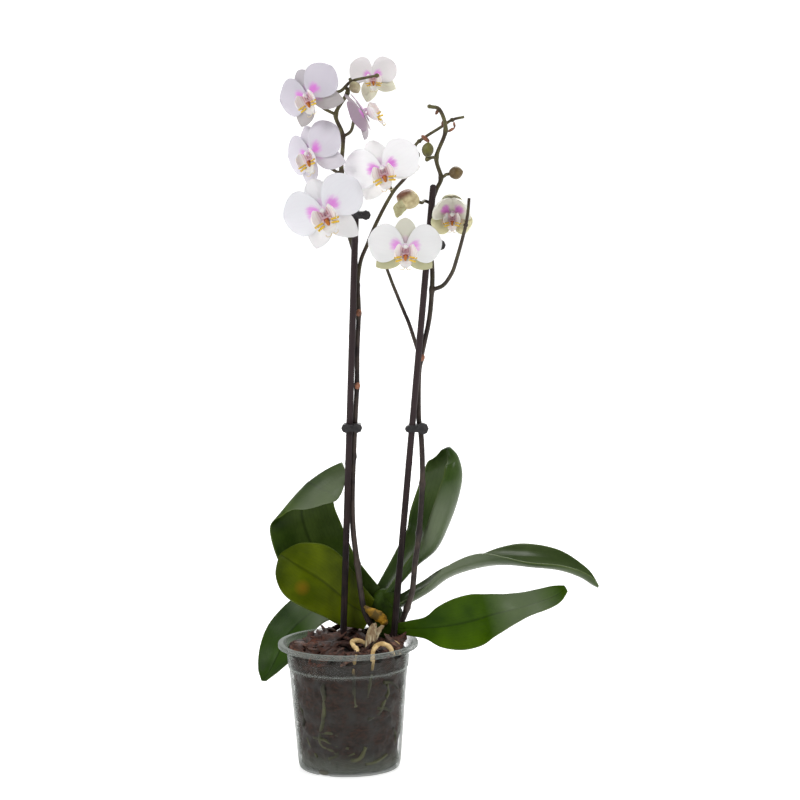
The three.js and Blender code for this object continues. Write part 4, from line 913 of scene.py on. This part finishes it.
TEPAL_START, TEPAL_THICKNESS = 1.2, 0.9
PETAL_LAYER, SEPAL_LAYER = 1.0, -1.2
HUB_RADIUS, HUB_CENTRE, NECK_LENGTH, NECK_RADIUS = 3.6, (0, 0, -0.3), 4, 1.5
COLUMN, COLUMN_RADII = [[0, 0.5, 0], [0, 1.6, 3.5], [0, 1, 7]], (2.0, 1.7)
CAP_RADIUS, CAP_PLACE = 1.9, (0, 0.9, 7)
WHITE, COLUMN_MAUVE, NECK_GREEN = (0.86, 0.84, 0.84), (0.82, 0.62, 0.8), (0.55, 0.55, 0.35)
FLUSH_CENTRE, FLUSH_RADIUS, FLUSH_NARROWS = 0.19, 0.22, 0.42  # shares of a petal's length
FLUSH_MAGENTA, VEIN_MAUVE = (0.8, 0.25, 0.78, 1), (0.62, 0.5, 0.66, 1)


def on_flower(along, across, heading, layer, sphere):
    """A point of a tepal, along and across it in the flat, wrapped on the flower's sphere and
    raised by a layer from it: it lies (sphere - layer) sin(reach / sphere) out from the heart."""
    reach = np.hypot(along, across) / sphere
    direction = heading + np.arctan2(across, along)
    out = (sphere - layer) * np.sin(reach)
    forward = sphere - (sphere - layer) * np.cos(reach)
    return np.stack([out * np.sin(direction), out * np.cos(direction), forward], -1)


def half_width(form, s):
    """Half the width of a tepal: a power of a sine of s, but no less than its claw or its tip."""
    _, width, claw, fullness, swell = form
    full = width / 2 * np.sin(np.pi * np.minimum(s, 0.9995) ** swell) ** fullness
    return np.maximum(full, np.where(s < 0.5, claw, 0.6))


def tepal(form, heading, layer, sphere, tint, flush, ripple, seed, steps=34, across=26):
    """A petal or sepal: its outline wrapped on the sphere, thinner and waved at its margin, with
    a low ridge along its middle. Its paint is its tint, with the flush's strength as alpha."""
    s = np.sin(np.pi / 2 * np.linspace(0, 1, steps + 1))[:, None]
    u = np.linspace(-1, 1, across + 1)
    along = TEPAL_START + s * (form[0] - TEPAL_START)
    width = u * half_width(form, s)
    margin = np.abs(u) ** 3 * s
    wave = ripple * (margin * np.sin(7 * s + 1.7 * seed + 2.2 * np.sign(u))
                     + 0.5 * s ** 3 * np.sin(5.1 * u + seed))
    ridge = 0.25 * np.exp(-(u / 0.1) ** 2) * (1 - s)
    faces = []
    for way in (1, -1):
        offset = way * TEPAL_THICKNESS / 2 * (1 - 0.65 * np.abs(u) ** 4) + wave + ridge
        faces.append(on_flower(along, width, math.radians(heading), layer + offset, sphere))
    points, polygons, place = thin_blade(*faces, s[:, 0], u)
    return points, polygons, place, np.tile([*tint, flush], (len(points), 1))


def painted(part, tint):
    """A part in one tint, with none of the flush or marks that the paint's alpha gives. Without a
    place of its own, it takes the middle of a front face."""
    place = part[2] if len(part) > 2 else np.tile([0.0, 0.0, 1.0], (len(part[0]), 1))
    return *part[:2], place, np.tile([*tint, 0.0], (len(part[0]), 1))


def round_part(radius, tint, stretch_by, shift):
    """A ball in one tint, stretched and shifted."""
    points, faces = ball(radius, sides=24)
    return painted((points * stretch_by + shift, faces), tint)


def turning(angle, axis):
    """The 3 by 3 matrix of a turn in degrees about X, Y or Z."""
    return np.array(Matrix.Rotation(math.radians(angle), 3, axis))


def facing(turn, lift, roll):
    """The frame of a flower: +Y to its top and +Z the way that it faces."""
    return turning(turn, "Z") @ turning(90 - lift, "X") @ turning(roll, "Z")


petal_paint, tree, shader = material("petal", Roughness=0.5, Subsurface_Weight=0.12,
                                     Subsurface_Scale=0.002, Subsurface_Radius=(1.0, 0.8, 0.9),
                                     Sheen_Weight=0.15)
tissue = stored(tree, "paint")
lines = use(tree, veins, Count=26.0, Waver=0.25, Low=0.55, High=1.0)
out_by = calc(tree, "SUBTRACT", lines["Along"], FLUSH_CENTRE)
sideways = calc(tree, "MULTIPLY", lines["Across"], FLUSH_NARROWS)
both = node(tree, "CombineXYZ", {"X": out_by, "Y": sideways}).outputs["Vector"]
reach = node(tree, "VectorMath", {0: both}, operation="LENGTH").outputs["Value"]
reach = calc(tree, "ADD", reach, stretch(tree, noise(tree, 160.0, 4.0), 0.3, 0.7, -0.03, 0.03))
reach = calc(tree, "ADD", reach, stretch(tree, lines["Mask"], 0, 1, -0.02, 0.01))
flush = node(tree, "MapRange", {"Value": reach, "From Min": 0.04, "From Max": FLUSH_RADIUS,
                                "To Min": 1.0, "To Max": 0.0}, interpolation_type="SMOOTHSTEP")
flush = calc(tree, "MULTIPLY", flush.outputs["Result"], tissue["Alpha"])
veined = colour_mix(tree, stretch(tree, lines["Mask"], 0, 1, 0, 0.03), tissue["Color"], VEIN_MAUVE)
relief = node(tree, "Bump", {"Height": lines["Mask"], "Strength": 0.3, "Distance": 0.00012})
feed(shader, Base_Color=colour_mix(tree, flush, veined, FLUSH_MAGENTA),
     Normal=relief.outputs["Normal"])

for number, flower in enumerate(FLOWERS, 1):
    at, turn, lift, roll, size, heading, sepals, sphere, flush, petal_tint_with_shade, sepal_tint_with_shade = flower
    # the tints hold painted shade as well as each flower's colour
    tints = (np.add(petal_tint_with_shade, sepal_tint_with_shade) / 2, sepal_tint_with_shade, sepal_tint_with_shade, petal_tint_with_shade, petal_tint_with_shade)
    tepals = [(TOP_SEPAL, sepals[2]), (SIDE_SEPAL, sepals[1]), (SIDE_SEPAL, -sepals[0]),
              (PETAL, 90 - heading), (PETAL, heading - 90)]
    parts = []
    for order, ((form, way), tint) in enumerate(zip(tepals, tints), number):
        layer, share, ripple = (PETAL_LAYER, 1, 0.55) if form == PETAL else (SEPAL_LAYER, 0.3, 0.3)
        parts.append(tepal(form, way, layer, sphere / size, tint, flush * share, ripple, order))
    neck = rod([[0, 0, -1], [0, 0, -NECK_LENGTH / size]], 2, NECK_RADIUS / size, sides=16)
    parts += [round_part(HUB_RADIUS, WHITE, (1, 1, 0.85), HUB_CENTRE),
              painted(rod(COLUMN, *COLUMN_RADII, sides=18), COLUMN_MAUVE),
              round_part(CAP_RADIUS, WHITE, (1, 0.9, 0.9), CAP_PLACE), painted(neck, NECK_GREEN)]
    points, faces, place, paint = joined(parts)
    points = points * size @ facing(turn, lift, roll).T + at
    add_piece(f"bloom_{number}_petals", (points, faces), petal_paint, "petal", f"bloom_{number}",
              place=place, paint=paint)


# ------------------------------------------------------------------ lips
# The third petal of each flower: two side lobes raised round the column and a forward lobe,
# white with maroon marks at its foot, a waxy orange callus, yellow bars and two curled tendrils.

LIP_SIZES = {3: 1.2, 8: 0.74}  # of the others': flower 3's is long and flower 8 is half open
LIP_CURL, LIP_FOOT, LIP_FOOT_WAY = 0.6, HUB_RADIUS - 0.15, (0, -0.56, 0.83)  # from the hub
# rows from the lip's foot, with half width, turn and lean; the right one of two is given
FORWARD_LOBE = [[0, 0, 0, 1.8, 0, 0], [0, -6, 4, 4.2, 0, 0], [0, -11.5, 6.6, 5.4, 0, 0],
                [0, -15.5, 7, 1.2, 0, 0]]
SIDE_LOBE = [[0.4, -1.4, 1.4, 1.4, 0, 90], [4.6, -1.6, 2.6, 6, 0, 90],
             [8.2, -1.8, 5.4, 7.6, 0, 90], [9.6, -2, 9.4, 4.4, 0, 90]]
BARS = ([[3.4, -5.6, 6.2], [6.5, -6, 7.8], [9.6, -6.4, 9.4]],
        [[3, -8, 7.2], [5.7, -8.7, 8.4], [8.4, -9.4, 9.6]])
TENDRIL = [[0.6, -15, 7.2], [2, -16.4, 8.4], [4.4, -16, 8.8], [5, -14.2, 8.2]]
BAR_RADII, TENDRIL_RADII = (0.7, 0.85), (0.45, 0.22)
LIP_CREAM, CUP_PINK, LIP_TIP = (0.96, 0.92, 0.9), (0.72, 0.5, 0.54), (0.82, 0.8, 0.78)
CALLUS_ORANGE, CALLUS_RED, BAR_YELLOW = (0.52, 0.16, 0.015), (0.34, 0.06, 0.03), (0.76, 0.5, 0.03)
TENDRIL_BUFF, MARK_MAROON = (0.7, 0.6, 0.4), (0.42, 0.05, 0.16, 1)
# shares of a lobe's length: where its pink has half turned, and half the stretch that it takes
TIP_FROM, CREAM_FROM, TURN_HALF = 0.4, 0.34, 0.16
MARK_STRENGTH, MARK_FADE, MARKS_ALONG = 0.65, 0.9, 1.6
CALLUS = [
    # radius, tint, stretch and place of its two humps
    (1.6, CALLUS_ORANGE, (0.85, 1.7, 0.9), (0, -6.6, 6.2)),
    (1.5, CALLUS_RED, (1.5, 0.8, 0.7), (0, -4.6, 5.6)),
]

lip_paint, tree, shader = material("lip", Roughness=0.45, Subsurface_Weight=0.1,
                                   Subsurface_Scale=0.001)
tissue = stored(tree, "paint")
bars = use(tree, veins, Count=26.0, Waver=0.5, Low=0.25, High=0.8)
dots = node(tree, "TexVoronoi", {"Vector": spot_on(tree), "Scale": 600.0}).outputs["Distance"]
marked = calc(tree, "MAXIMUM", bars["Mask"], stretch(tree, dots, 0.1, 0.25, 1, 0))
marked = calc(tree, "MULTIPLY", marked, tissue["Alpha"])
feed(shader, Base_Color=colour_mix(tree, marked, tissue["Color"], MARK_MAROON),
     Normal=use(tree, flesh_bump, Scale=900.0, Height=0.0002)["Normal"])


def lobe_part(rows, curl, tip_tint, turn_at):
    """A lobe painted pink at its foot and in another tint past turn_at, a share of its length,
    with the strength of its marks (alpha) fading in the same way. Its marks run across it."""
    points, faces, place = ribbon(rows, (curl, curl), thickness=1, steps=26, across=18, ripple=0.2)
    share = place[:, 0] / place[:, 0].max()
    fade = np.clip((share - turn_at + TURN_HALF) / (2 * TURN_HALF), 0, 1)[:, None]
    colour = np.array(CUP_PINK) * (1 - fade) + np.array(tip_tint) * fade
    place = np.stack([place[:, 1], MARKS_ALONG * share, place[:, 2]], -1)
    return points, faces, place, np.hstack([colour, MARK_STRENGTH * (1 - MARK_FADE * fade)])


for number, (at, turn, lift, roll, size, *_) in enumerate(FLOWERS, 1):
    part_size = LIP_SIZES.get(number, 1)
    foot = (np.array(LIP_FOOT_WAY) * LIP_FOOT + HUB_CENTRE) / part_size
    forward_lobe = np.array(FORWARD_LOBE) + [*foot, 0, 0, 0]
    parts = [lobe_part(forward_lobe, LIP_CURL, LIP_TIP, TIP_FROM)]
    for way in (1, -1):
        mirror = [way, 1, 1]
        side_lobe = SIDE_LOBE * np.array([*mirror, 1, 1, 1]) + [*foot, 0, 0, 0]
        parts.append(lobe_part(side_lobe, LIP_CURL * way, LIP_CREAM, CREAM_FROM))
        for route, radii, sides, tint in ((BARS[0], BAR_RADII, 10, BAR_YELLOW),
                                          (BARS[1], BAR_RADII, 10, BAR_YELLOW),
                                          (TENDRIL, TENDRIL_RADII, 8, TENDRIL_BUFF)):
            parts.append(painted(rod(route * np.array(mirror) + foot, *radii, sides), tint))
    parts += [round_part(radius, tint, by, foot + shift) for radius, tint, by, shift in CALLUS]
    points, faces, place, paint = joined(parts)
    points = points * size * part_size @ facing(turn, lift, roll).T + at
    add_piece(f"lip_{number}_lobes", (points, faces), lip_paint, "lip", f"lip_{number}",
              place=place, paint=paint)


# ------------------------------------------------------------------ buds
# Four buds, closed or just opening, each of three soft sepals that meet in low seams. They hang
# by stalks from the spikes, and the largest has let one sepal down.

BUDS = [
    # place, radius, stretch, direction of the tip, light and dark tint, direction of the dark
    # side or None for the foot, whether a sepal hangs
    ((56, -2, 489), 8.6, 1.15, (-1, -0.3, 0.3), (0.86, 0.78, 0.46), (0.3, 0.13, 0.07),
     (-0.5, -0.25, 0.83), True),
    ((96.5, 6, 510), 5.6, 1.1, (1, -0.4, 0.2), (0.22, 0.15, 0.045), (0.1, 0.06, 0.022),
     None, False),
    ((73, 3, 530), 5.2, 1.25, (0.1, -0.3, 1), (0.2, 0.2, 0.035), (0.07, 0.06, 0.012),
     None, False),
    ((12.5, 0, 583.5), 4.8, 1.15, (0.5, -0.4, -0.8), (0.66, 0.6, 0.42), (0.38, 0.34, 0.16),
     None, False),
]
BUD_PROFILE = [(0.02, -0.98), (0.18, -0.97), (0.3, -0.95), (0.56, -0.8), (0.75, -0.6),
               (0.92, -0.32), (1, -0.05), (0.96, 0.22), (0.86, 0.45), (0.68, 0.66), (0.45, 0.85),
               (0.2, 1.0), (0.02, 1.08)]
HANGING = [[2, -5, 3, 3, 90, 0], [-4, -6, 5, 5.4, 90, 0], [-10, -5, 6, 5.4, 85, 0],
           [-17, -3, 5, 1.2, 80, 0]]
HANGING_GREEN, SEAM_DEPTH, BUD_SIDES = (0.66, 0.66, 0.38), 0.08, 48
# the cosine to the dark side at which the light tint starts, and the span that it takes
LIGHT_FROM, LIGHT_WITHIN = 0.75, 0.3

bud_paint, tree, shader = material("bud", Roughness=0.5)
tissue = stored(tree, "paint")["Color"]
blotch = use(tree, mottle, Light=(1, 1, 1, 1), Dark=(0.5, 0.42, 0.36, 1), Scale=180.0, Low=0.3,
             High=0.7)
feed(shader, Base_Color=colour_mix(tree, 1.0, tissue, blotch["Color"], "MULTIPLY"),
     Normal=use(tree, flesh_bump, Scale=600.0, Height=0.0003)["Normal"])


def tip_frame(tip):
    """The least turn that takes +Z to the tip's direction."""
    return np.array(Vector((0, 0, 1)).rotation_difference(Vector(tip)).to_matrix())


for number, (at, radius, long, tip, light, dark, dark_side, hangs) in enumerate(BUDS, 1):
    angles = full_turn(BUD_SIDES)
    rings = revolved(np.array(BUD_PROFILE) * [radius, radius * long], angles)
    rings[..., :2] *= (1 - SEAM_DEPTH * np.exp(-(np.sin(1.5 * angles) / 0.25) ** 2))[:, None]
    points, faces = closed_tube(rings)
    share = (points[:, 2] / (radius * long) + 1) / 2
    if dark_side:
        from_dark = unit(points @ tip_frame(tip).T) @ unit(np.array(dark_side))
        share = (LIGHT_FROM - from_dark) / LIGHT_WITHIN
    share = np.clip(share, 0, 1)[:, None]
    colour = np.array(light) * share + np.array(dark) * (1 - share)
    parts = [(points, faces, np.hstack([colour, np.zeros_like(share)]))]
    if hangs:
        sepal = ribbon(HANGING, (0.4, 0.4), thickness=1, steps=28, across=14, ripple=0.3)
        sepal = painted(sepal, HANGING_GREEN)
        parts.append((*sepal[:2], sepal[3]))
    points, faces, paint = joined(parts)
    add_piece(f"bud_{number}_sepals", (points @ tip_frame(tip).T + at, faces), bud_paint, "bud",
              f"bud_{number}", paint=paint)


# ------------------------------------------------------------------ flower spikes
# Two wiry stems, olive and dark purple, swollen at their joints. Their branches and the stalks of
# their flowers and buds leave them at those joints.

SPIKE_RADIUS, SPIKE_TIP_RADIUS, STALK_RADIUS, KNOB_RADIUS = 2.6, 1.6, 1.4, 2.1
BRANCH_FOOT, BRANCH_TIP = 1.1, 0.75  # times a branch's radius
JOINT_LENGTH, JOINT_SWELL = 2.6, 0.32
# the last two points of a stalk, behind a flower's heart and behind a bud's foot
NECK_STALK, BUD_STALK = (-8, -4.3), (-3, -0.3)
SPIKES = {
    # the main stem and the rows of it at which it has joints, branches with their radii, stalks
    # of flowers and of buds with their numbers, and the round ends and joints of branches
    "spike_left": (
        [[24, 19, 113], [17.5, 14.5, 124], [13, 14, 138.5], [8.8, 14, 173.6], [5.6, 15.5, 203],
         [5.2, 16, 232], [6.8, 15.8, 267], [8.9, 14.8, 303], [10.5, 15, 328], [11.2, 15, 359],
         [12.8, 16, 390], [12, 18, 414], [10, 19.5, 440], [6.4, 19, 456], [4.2, 18, 482],
         [0, 16, 511], [1.7, 13, 541], [-4, 10, 560], [6, 8, 578], [4.5, 6.5, 583.3]],
        (3, 6, 8, 10, 11, 13, 14, 15, 16, 17, 18),
        [(1.6, [[12, 18, 414], [15, 18.5, 434], [20.7, 20, 448], [30, 21, 469], [43, 24, 492],
                [56, 26, 507], [65, 22, 523], [62, 20, 529], [66, 18, 536], [84.5, 15, 548],
                [94, 14.5, 554], [104, 13, 556.5]]),
         (1.4, [[4.2, 18, 482], [12, 16, 500.5], [17.5, 13, 496.5], [19, 12, 491]]),
         (1.4, [[-4.6, 8, 578.8], [1.2, 7, 580.5], [9.3, 5, 588], [21.7, 3, 591.2], [31, 1, 593]])],
        [(1, [[-4, 10, 560], [-15.4, 7, 566.8]]), (2, [[6, 8, 578], [6, 22, 579], [14, 30, 585]]),
         (3, [[1.7, 13, 541], [8.6, 12, 546]]),
         (4, [[0, 16, 511], [-4.6, 15, 511.5], [-16, 14, 520]]),
         (5, [[6.4, 19, 456], [-4.1, 14, 460.6]]), (6, [[43, 24, 492], [38, 16, 505]])],
        [(4, [[9.3, 5, 588]])],
        [[31, 1, 593], [66, 18, 536], [94, 14.5, 554]],
    ),
    "spike_right": (
        [[40, 20, 112], [47, 16, 124], [51, 13, 135], [55.6, 10.7, 150], [58.2, 9.7, 174],
         [62, 9.5, 201], [65.3, 9.5, 244], [65, 11, 281], [62.9, 13.6, 300], [63.2, 15, 332],
         [65.2, 15, 350], [72.6, 14.5, 384], [75.3, 13, 410], [75.8, 13.5, 427], [74.5, 15.6, 448],
         [74.3, 16, 468], [76, 16, 483], [80, 15.5, 495], [84, 13, 505.5], [80.3, 10, 523],
         [88.2, 8, 545.6], [83.6, 6, 563], [75, 5, 566.3]],
        (2, 5, 6, 10, 12, 15, 16, 18, 19, 20),
        [(1.7, [[75.3, 13, 410], [85, 8, 414.6], [92.4, 1, 426], [96.5, -6, 439], [100.3, -12, 453],
                [104, -16, 468], [106, -18, 480], [107, -18, 491]]),
         (1.6, [[65.2, 15, 350], [56.4, 20, 378], [52, 22, 389], [46, 22, 404], [40, 21, 420],
                [37, 18, 432], [42, 10, 446]])],
        [(7, [[37, 18, 432], [42, 10, 446]]), (8, [[74.3, 16, 468], [80, 20, 472]])],
        [(1, [[76, 16, 483], [70, 11.5, 486]]), (2, [[84, 13, 505.5], [87, 11, 507]]),
         (3, [[80.3, 10, 523], [76, 7, 523]])],
        [[88.2, 8, 545.6], [75, 5, 566.3], [104, -16, 468]],
    ),
}

spike_paint, tree, shader = material("spike skin", Roughness=0.45, Specular_IOR_Level=0.3)
purple = use(tree, mottle, Light=(0.065, 0.047, 0.038, 1), Dark=(0.022, 0.015, 0.014, 1),
             Scale=70.0)
olive = use(tree, mottle, Light=(0.12, 0.11, 0.045, 1), Dark=(0.05, 0.035, 0.02, 1), Scale=90.0)
rise = rising(tree, 0.38, 0.52)
ridged = use(tree, fibres, Along=(900.0, 900.0, 25.0), Height=0.0003)
feed(shader, Base_Color=colour_mix(tree, rise, purple["Color"], olive["Color"]),
     Normal=ridged["Normal"])


def flower_stalk(number):
    """The last two points of a flower's stalk, straight behind its neck."""
    at, turn, lift, roll = FLOWERS[number - 1][:4]
    return [(facing(turn, lift, roll) @ [0, 0, back] + at).tolist() for back in NECK_STALK]


def bud_stalk(number):
    """The last two points of a bud's stalk, straight behind its foot."""
    at, radius, long, tip = BUDS[number - 1][:4]
    foot = BUD_PROFILE[0][1] * radius * long
    return [(tip_frame(tip) @ [0, 0, foot + back] + at).tolist() for back in BUD_STALK]


for name, (main, joints, branches, flowers, buds, knobs) in SPIKES.items():
    joint_places = np.array([main[row] for row in joints], float)

    def jointed(centre):
        """The stem's thickness: a bell-shaped swelling at each of its joints."""
        apart = np.linalg.norm(centre[:, None] - joint_places, axis=-1)
        return 1 + JOINT_SWELL * np.exp(-(apart / JOINT_LENGTH) ** 2).max(1)

    stalks = [route + flower_stalk(number) for number, route in flowers]
    stalks += [route + bud_stalk(number) for number, route in buds]
    parts = [rod(main, SPIKE_RADIUS, SPIKE_TIP_RADIUS, sides=18, steps=10, swell=jointed)[:2]]
    parts += [rod(route, BRANCH_FOOT * radius, BRANCH_TIP * radius, steps=10)[:2]
              for radius, route in branches]
    parts += [rod(route, STALK_RADIUS, STALK_RADIUS, steps=10)[:2] for route in stalks]
    points, faces = ball(KNOB_RADIUS, sides=16)
    parts += [(points * [1, 1, 0.9] + knob, faces) for knob in knobs]
    add_piece(f"{name}_stem", joined(parts), spike_paint, "spike", name)


# ------------------------------------------------------------------ bracts
# Dry papery scales, reddish brown, left where buds have dropped and at the larger joints. Each
# grew round its joint and has dried onto the stem.

BRACTS = {
    # centre, half length, half width, heading of its length in the x-z plane in degrees
    "spike_left": [((71.2, 14.5, 538.4), 4.4, 1.9, -40), ((87.2, 12.6, 551.2), 3.3, 2.6, 80),
                   ((-5.6, 8.2, 577.6), 2.6, 1.5, 150), ((12.9, 14.2, 391), 3.2, 2.5, 80),
                   ((10.9, 13.2, 328.4), 3.2, 2.5, 84)],
    "spike_right": [((93, 7.6, 546.2), 3.4, 1.2, 30), ((95.6, 7.6, 550.4), 2.6, 1.0, 100),
                    ((81.4, 6, 561.8), 3, 1.4, 60), ((51.4, 12.9, 136), 2.4, 2.5, 70),
                    ((66, 12.6, 352), 3.2, 2.7, 75)],
}
BRACT_FLATTENED = 0.7

bract_paint, tree, shader = material("dry bract", Roughness=0.6)
russet = use(tree, mottle, Light=(0.38, 0.15, 0.08, 1), Dark=(0.13, 0.055, 0.03, 1), Scale=220.0)
creased = use(tree, fibres, Along=(700.0, 700.0, 150.0), Height=0.0004)
feed(shader, Base_Color=russet["Color"], Normal=creased["Normal"])
points, faces = ball(1, sides=14)
for name, scales in BRACTS.items():
    parts = []
    for centre, long, wide, heading in scales:
        scale = points * [wide, wide * BRACT_FLATTENED, long]
        parts.append((scale @ turning(90 - heading, "Y").T + centre, faces))
    add_piece(f"{name}_bracts", joined(parts), bract_paint, "spike")


# ------------------------------------------------------------------ clips
# Black clips with round finger wheels, moulded in tough plastic. They are sprung open and let go
# round a stake and its spike, and hold them by their grip.

clip_paint, tree, shader = material("black moulded plastic", Roughness=0.4)
scuffed = use(tree, mottle, Light=(0.03, 0.027, 0.028, 1), Dark=(0.012, 0.011, 0.012, 1),
              Scale=300.0)
feed(shader, Base_Color=scuffed["Color"],
     Normal=use(tree, flesh_bump, Scale=1200.0, Height=0.0002)["Normal"])
for name in ("clip_left_low", "clip_right_low", "clip_left_high", "clip_right_high"):
    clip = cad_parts[name]
    clip.data.materials.clear()
    clip.data.materials.append(clip_paint)
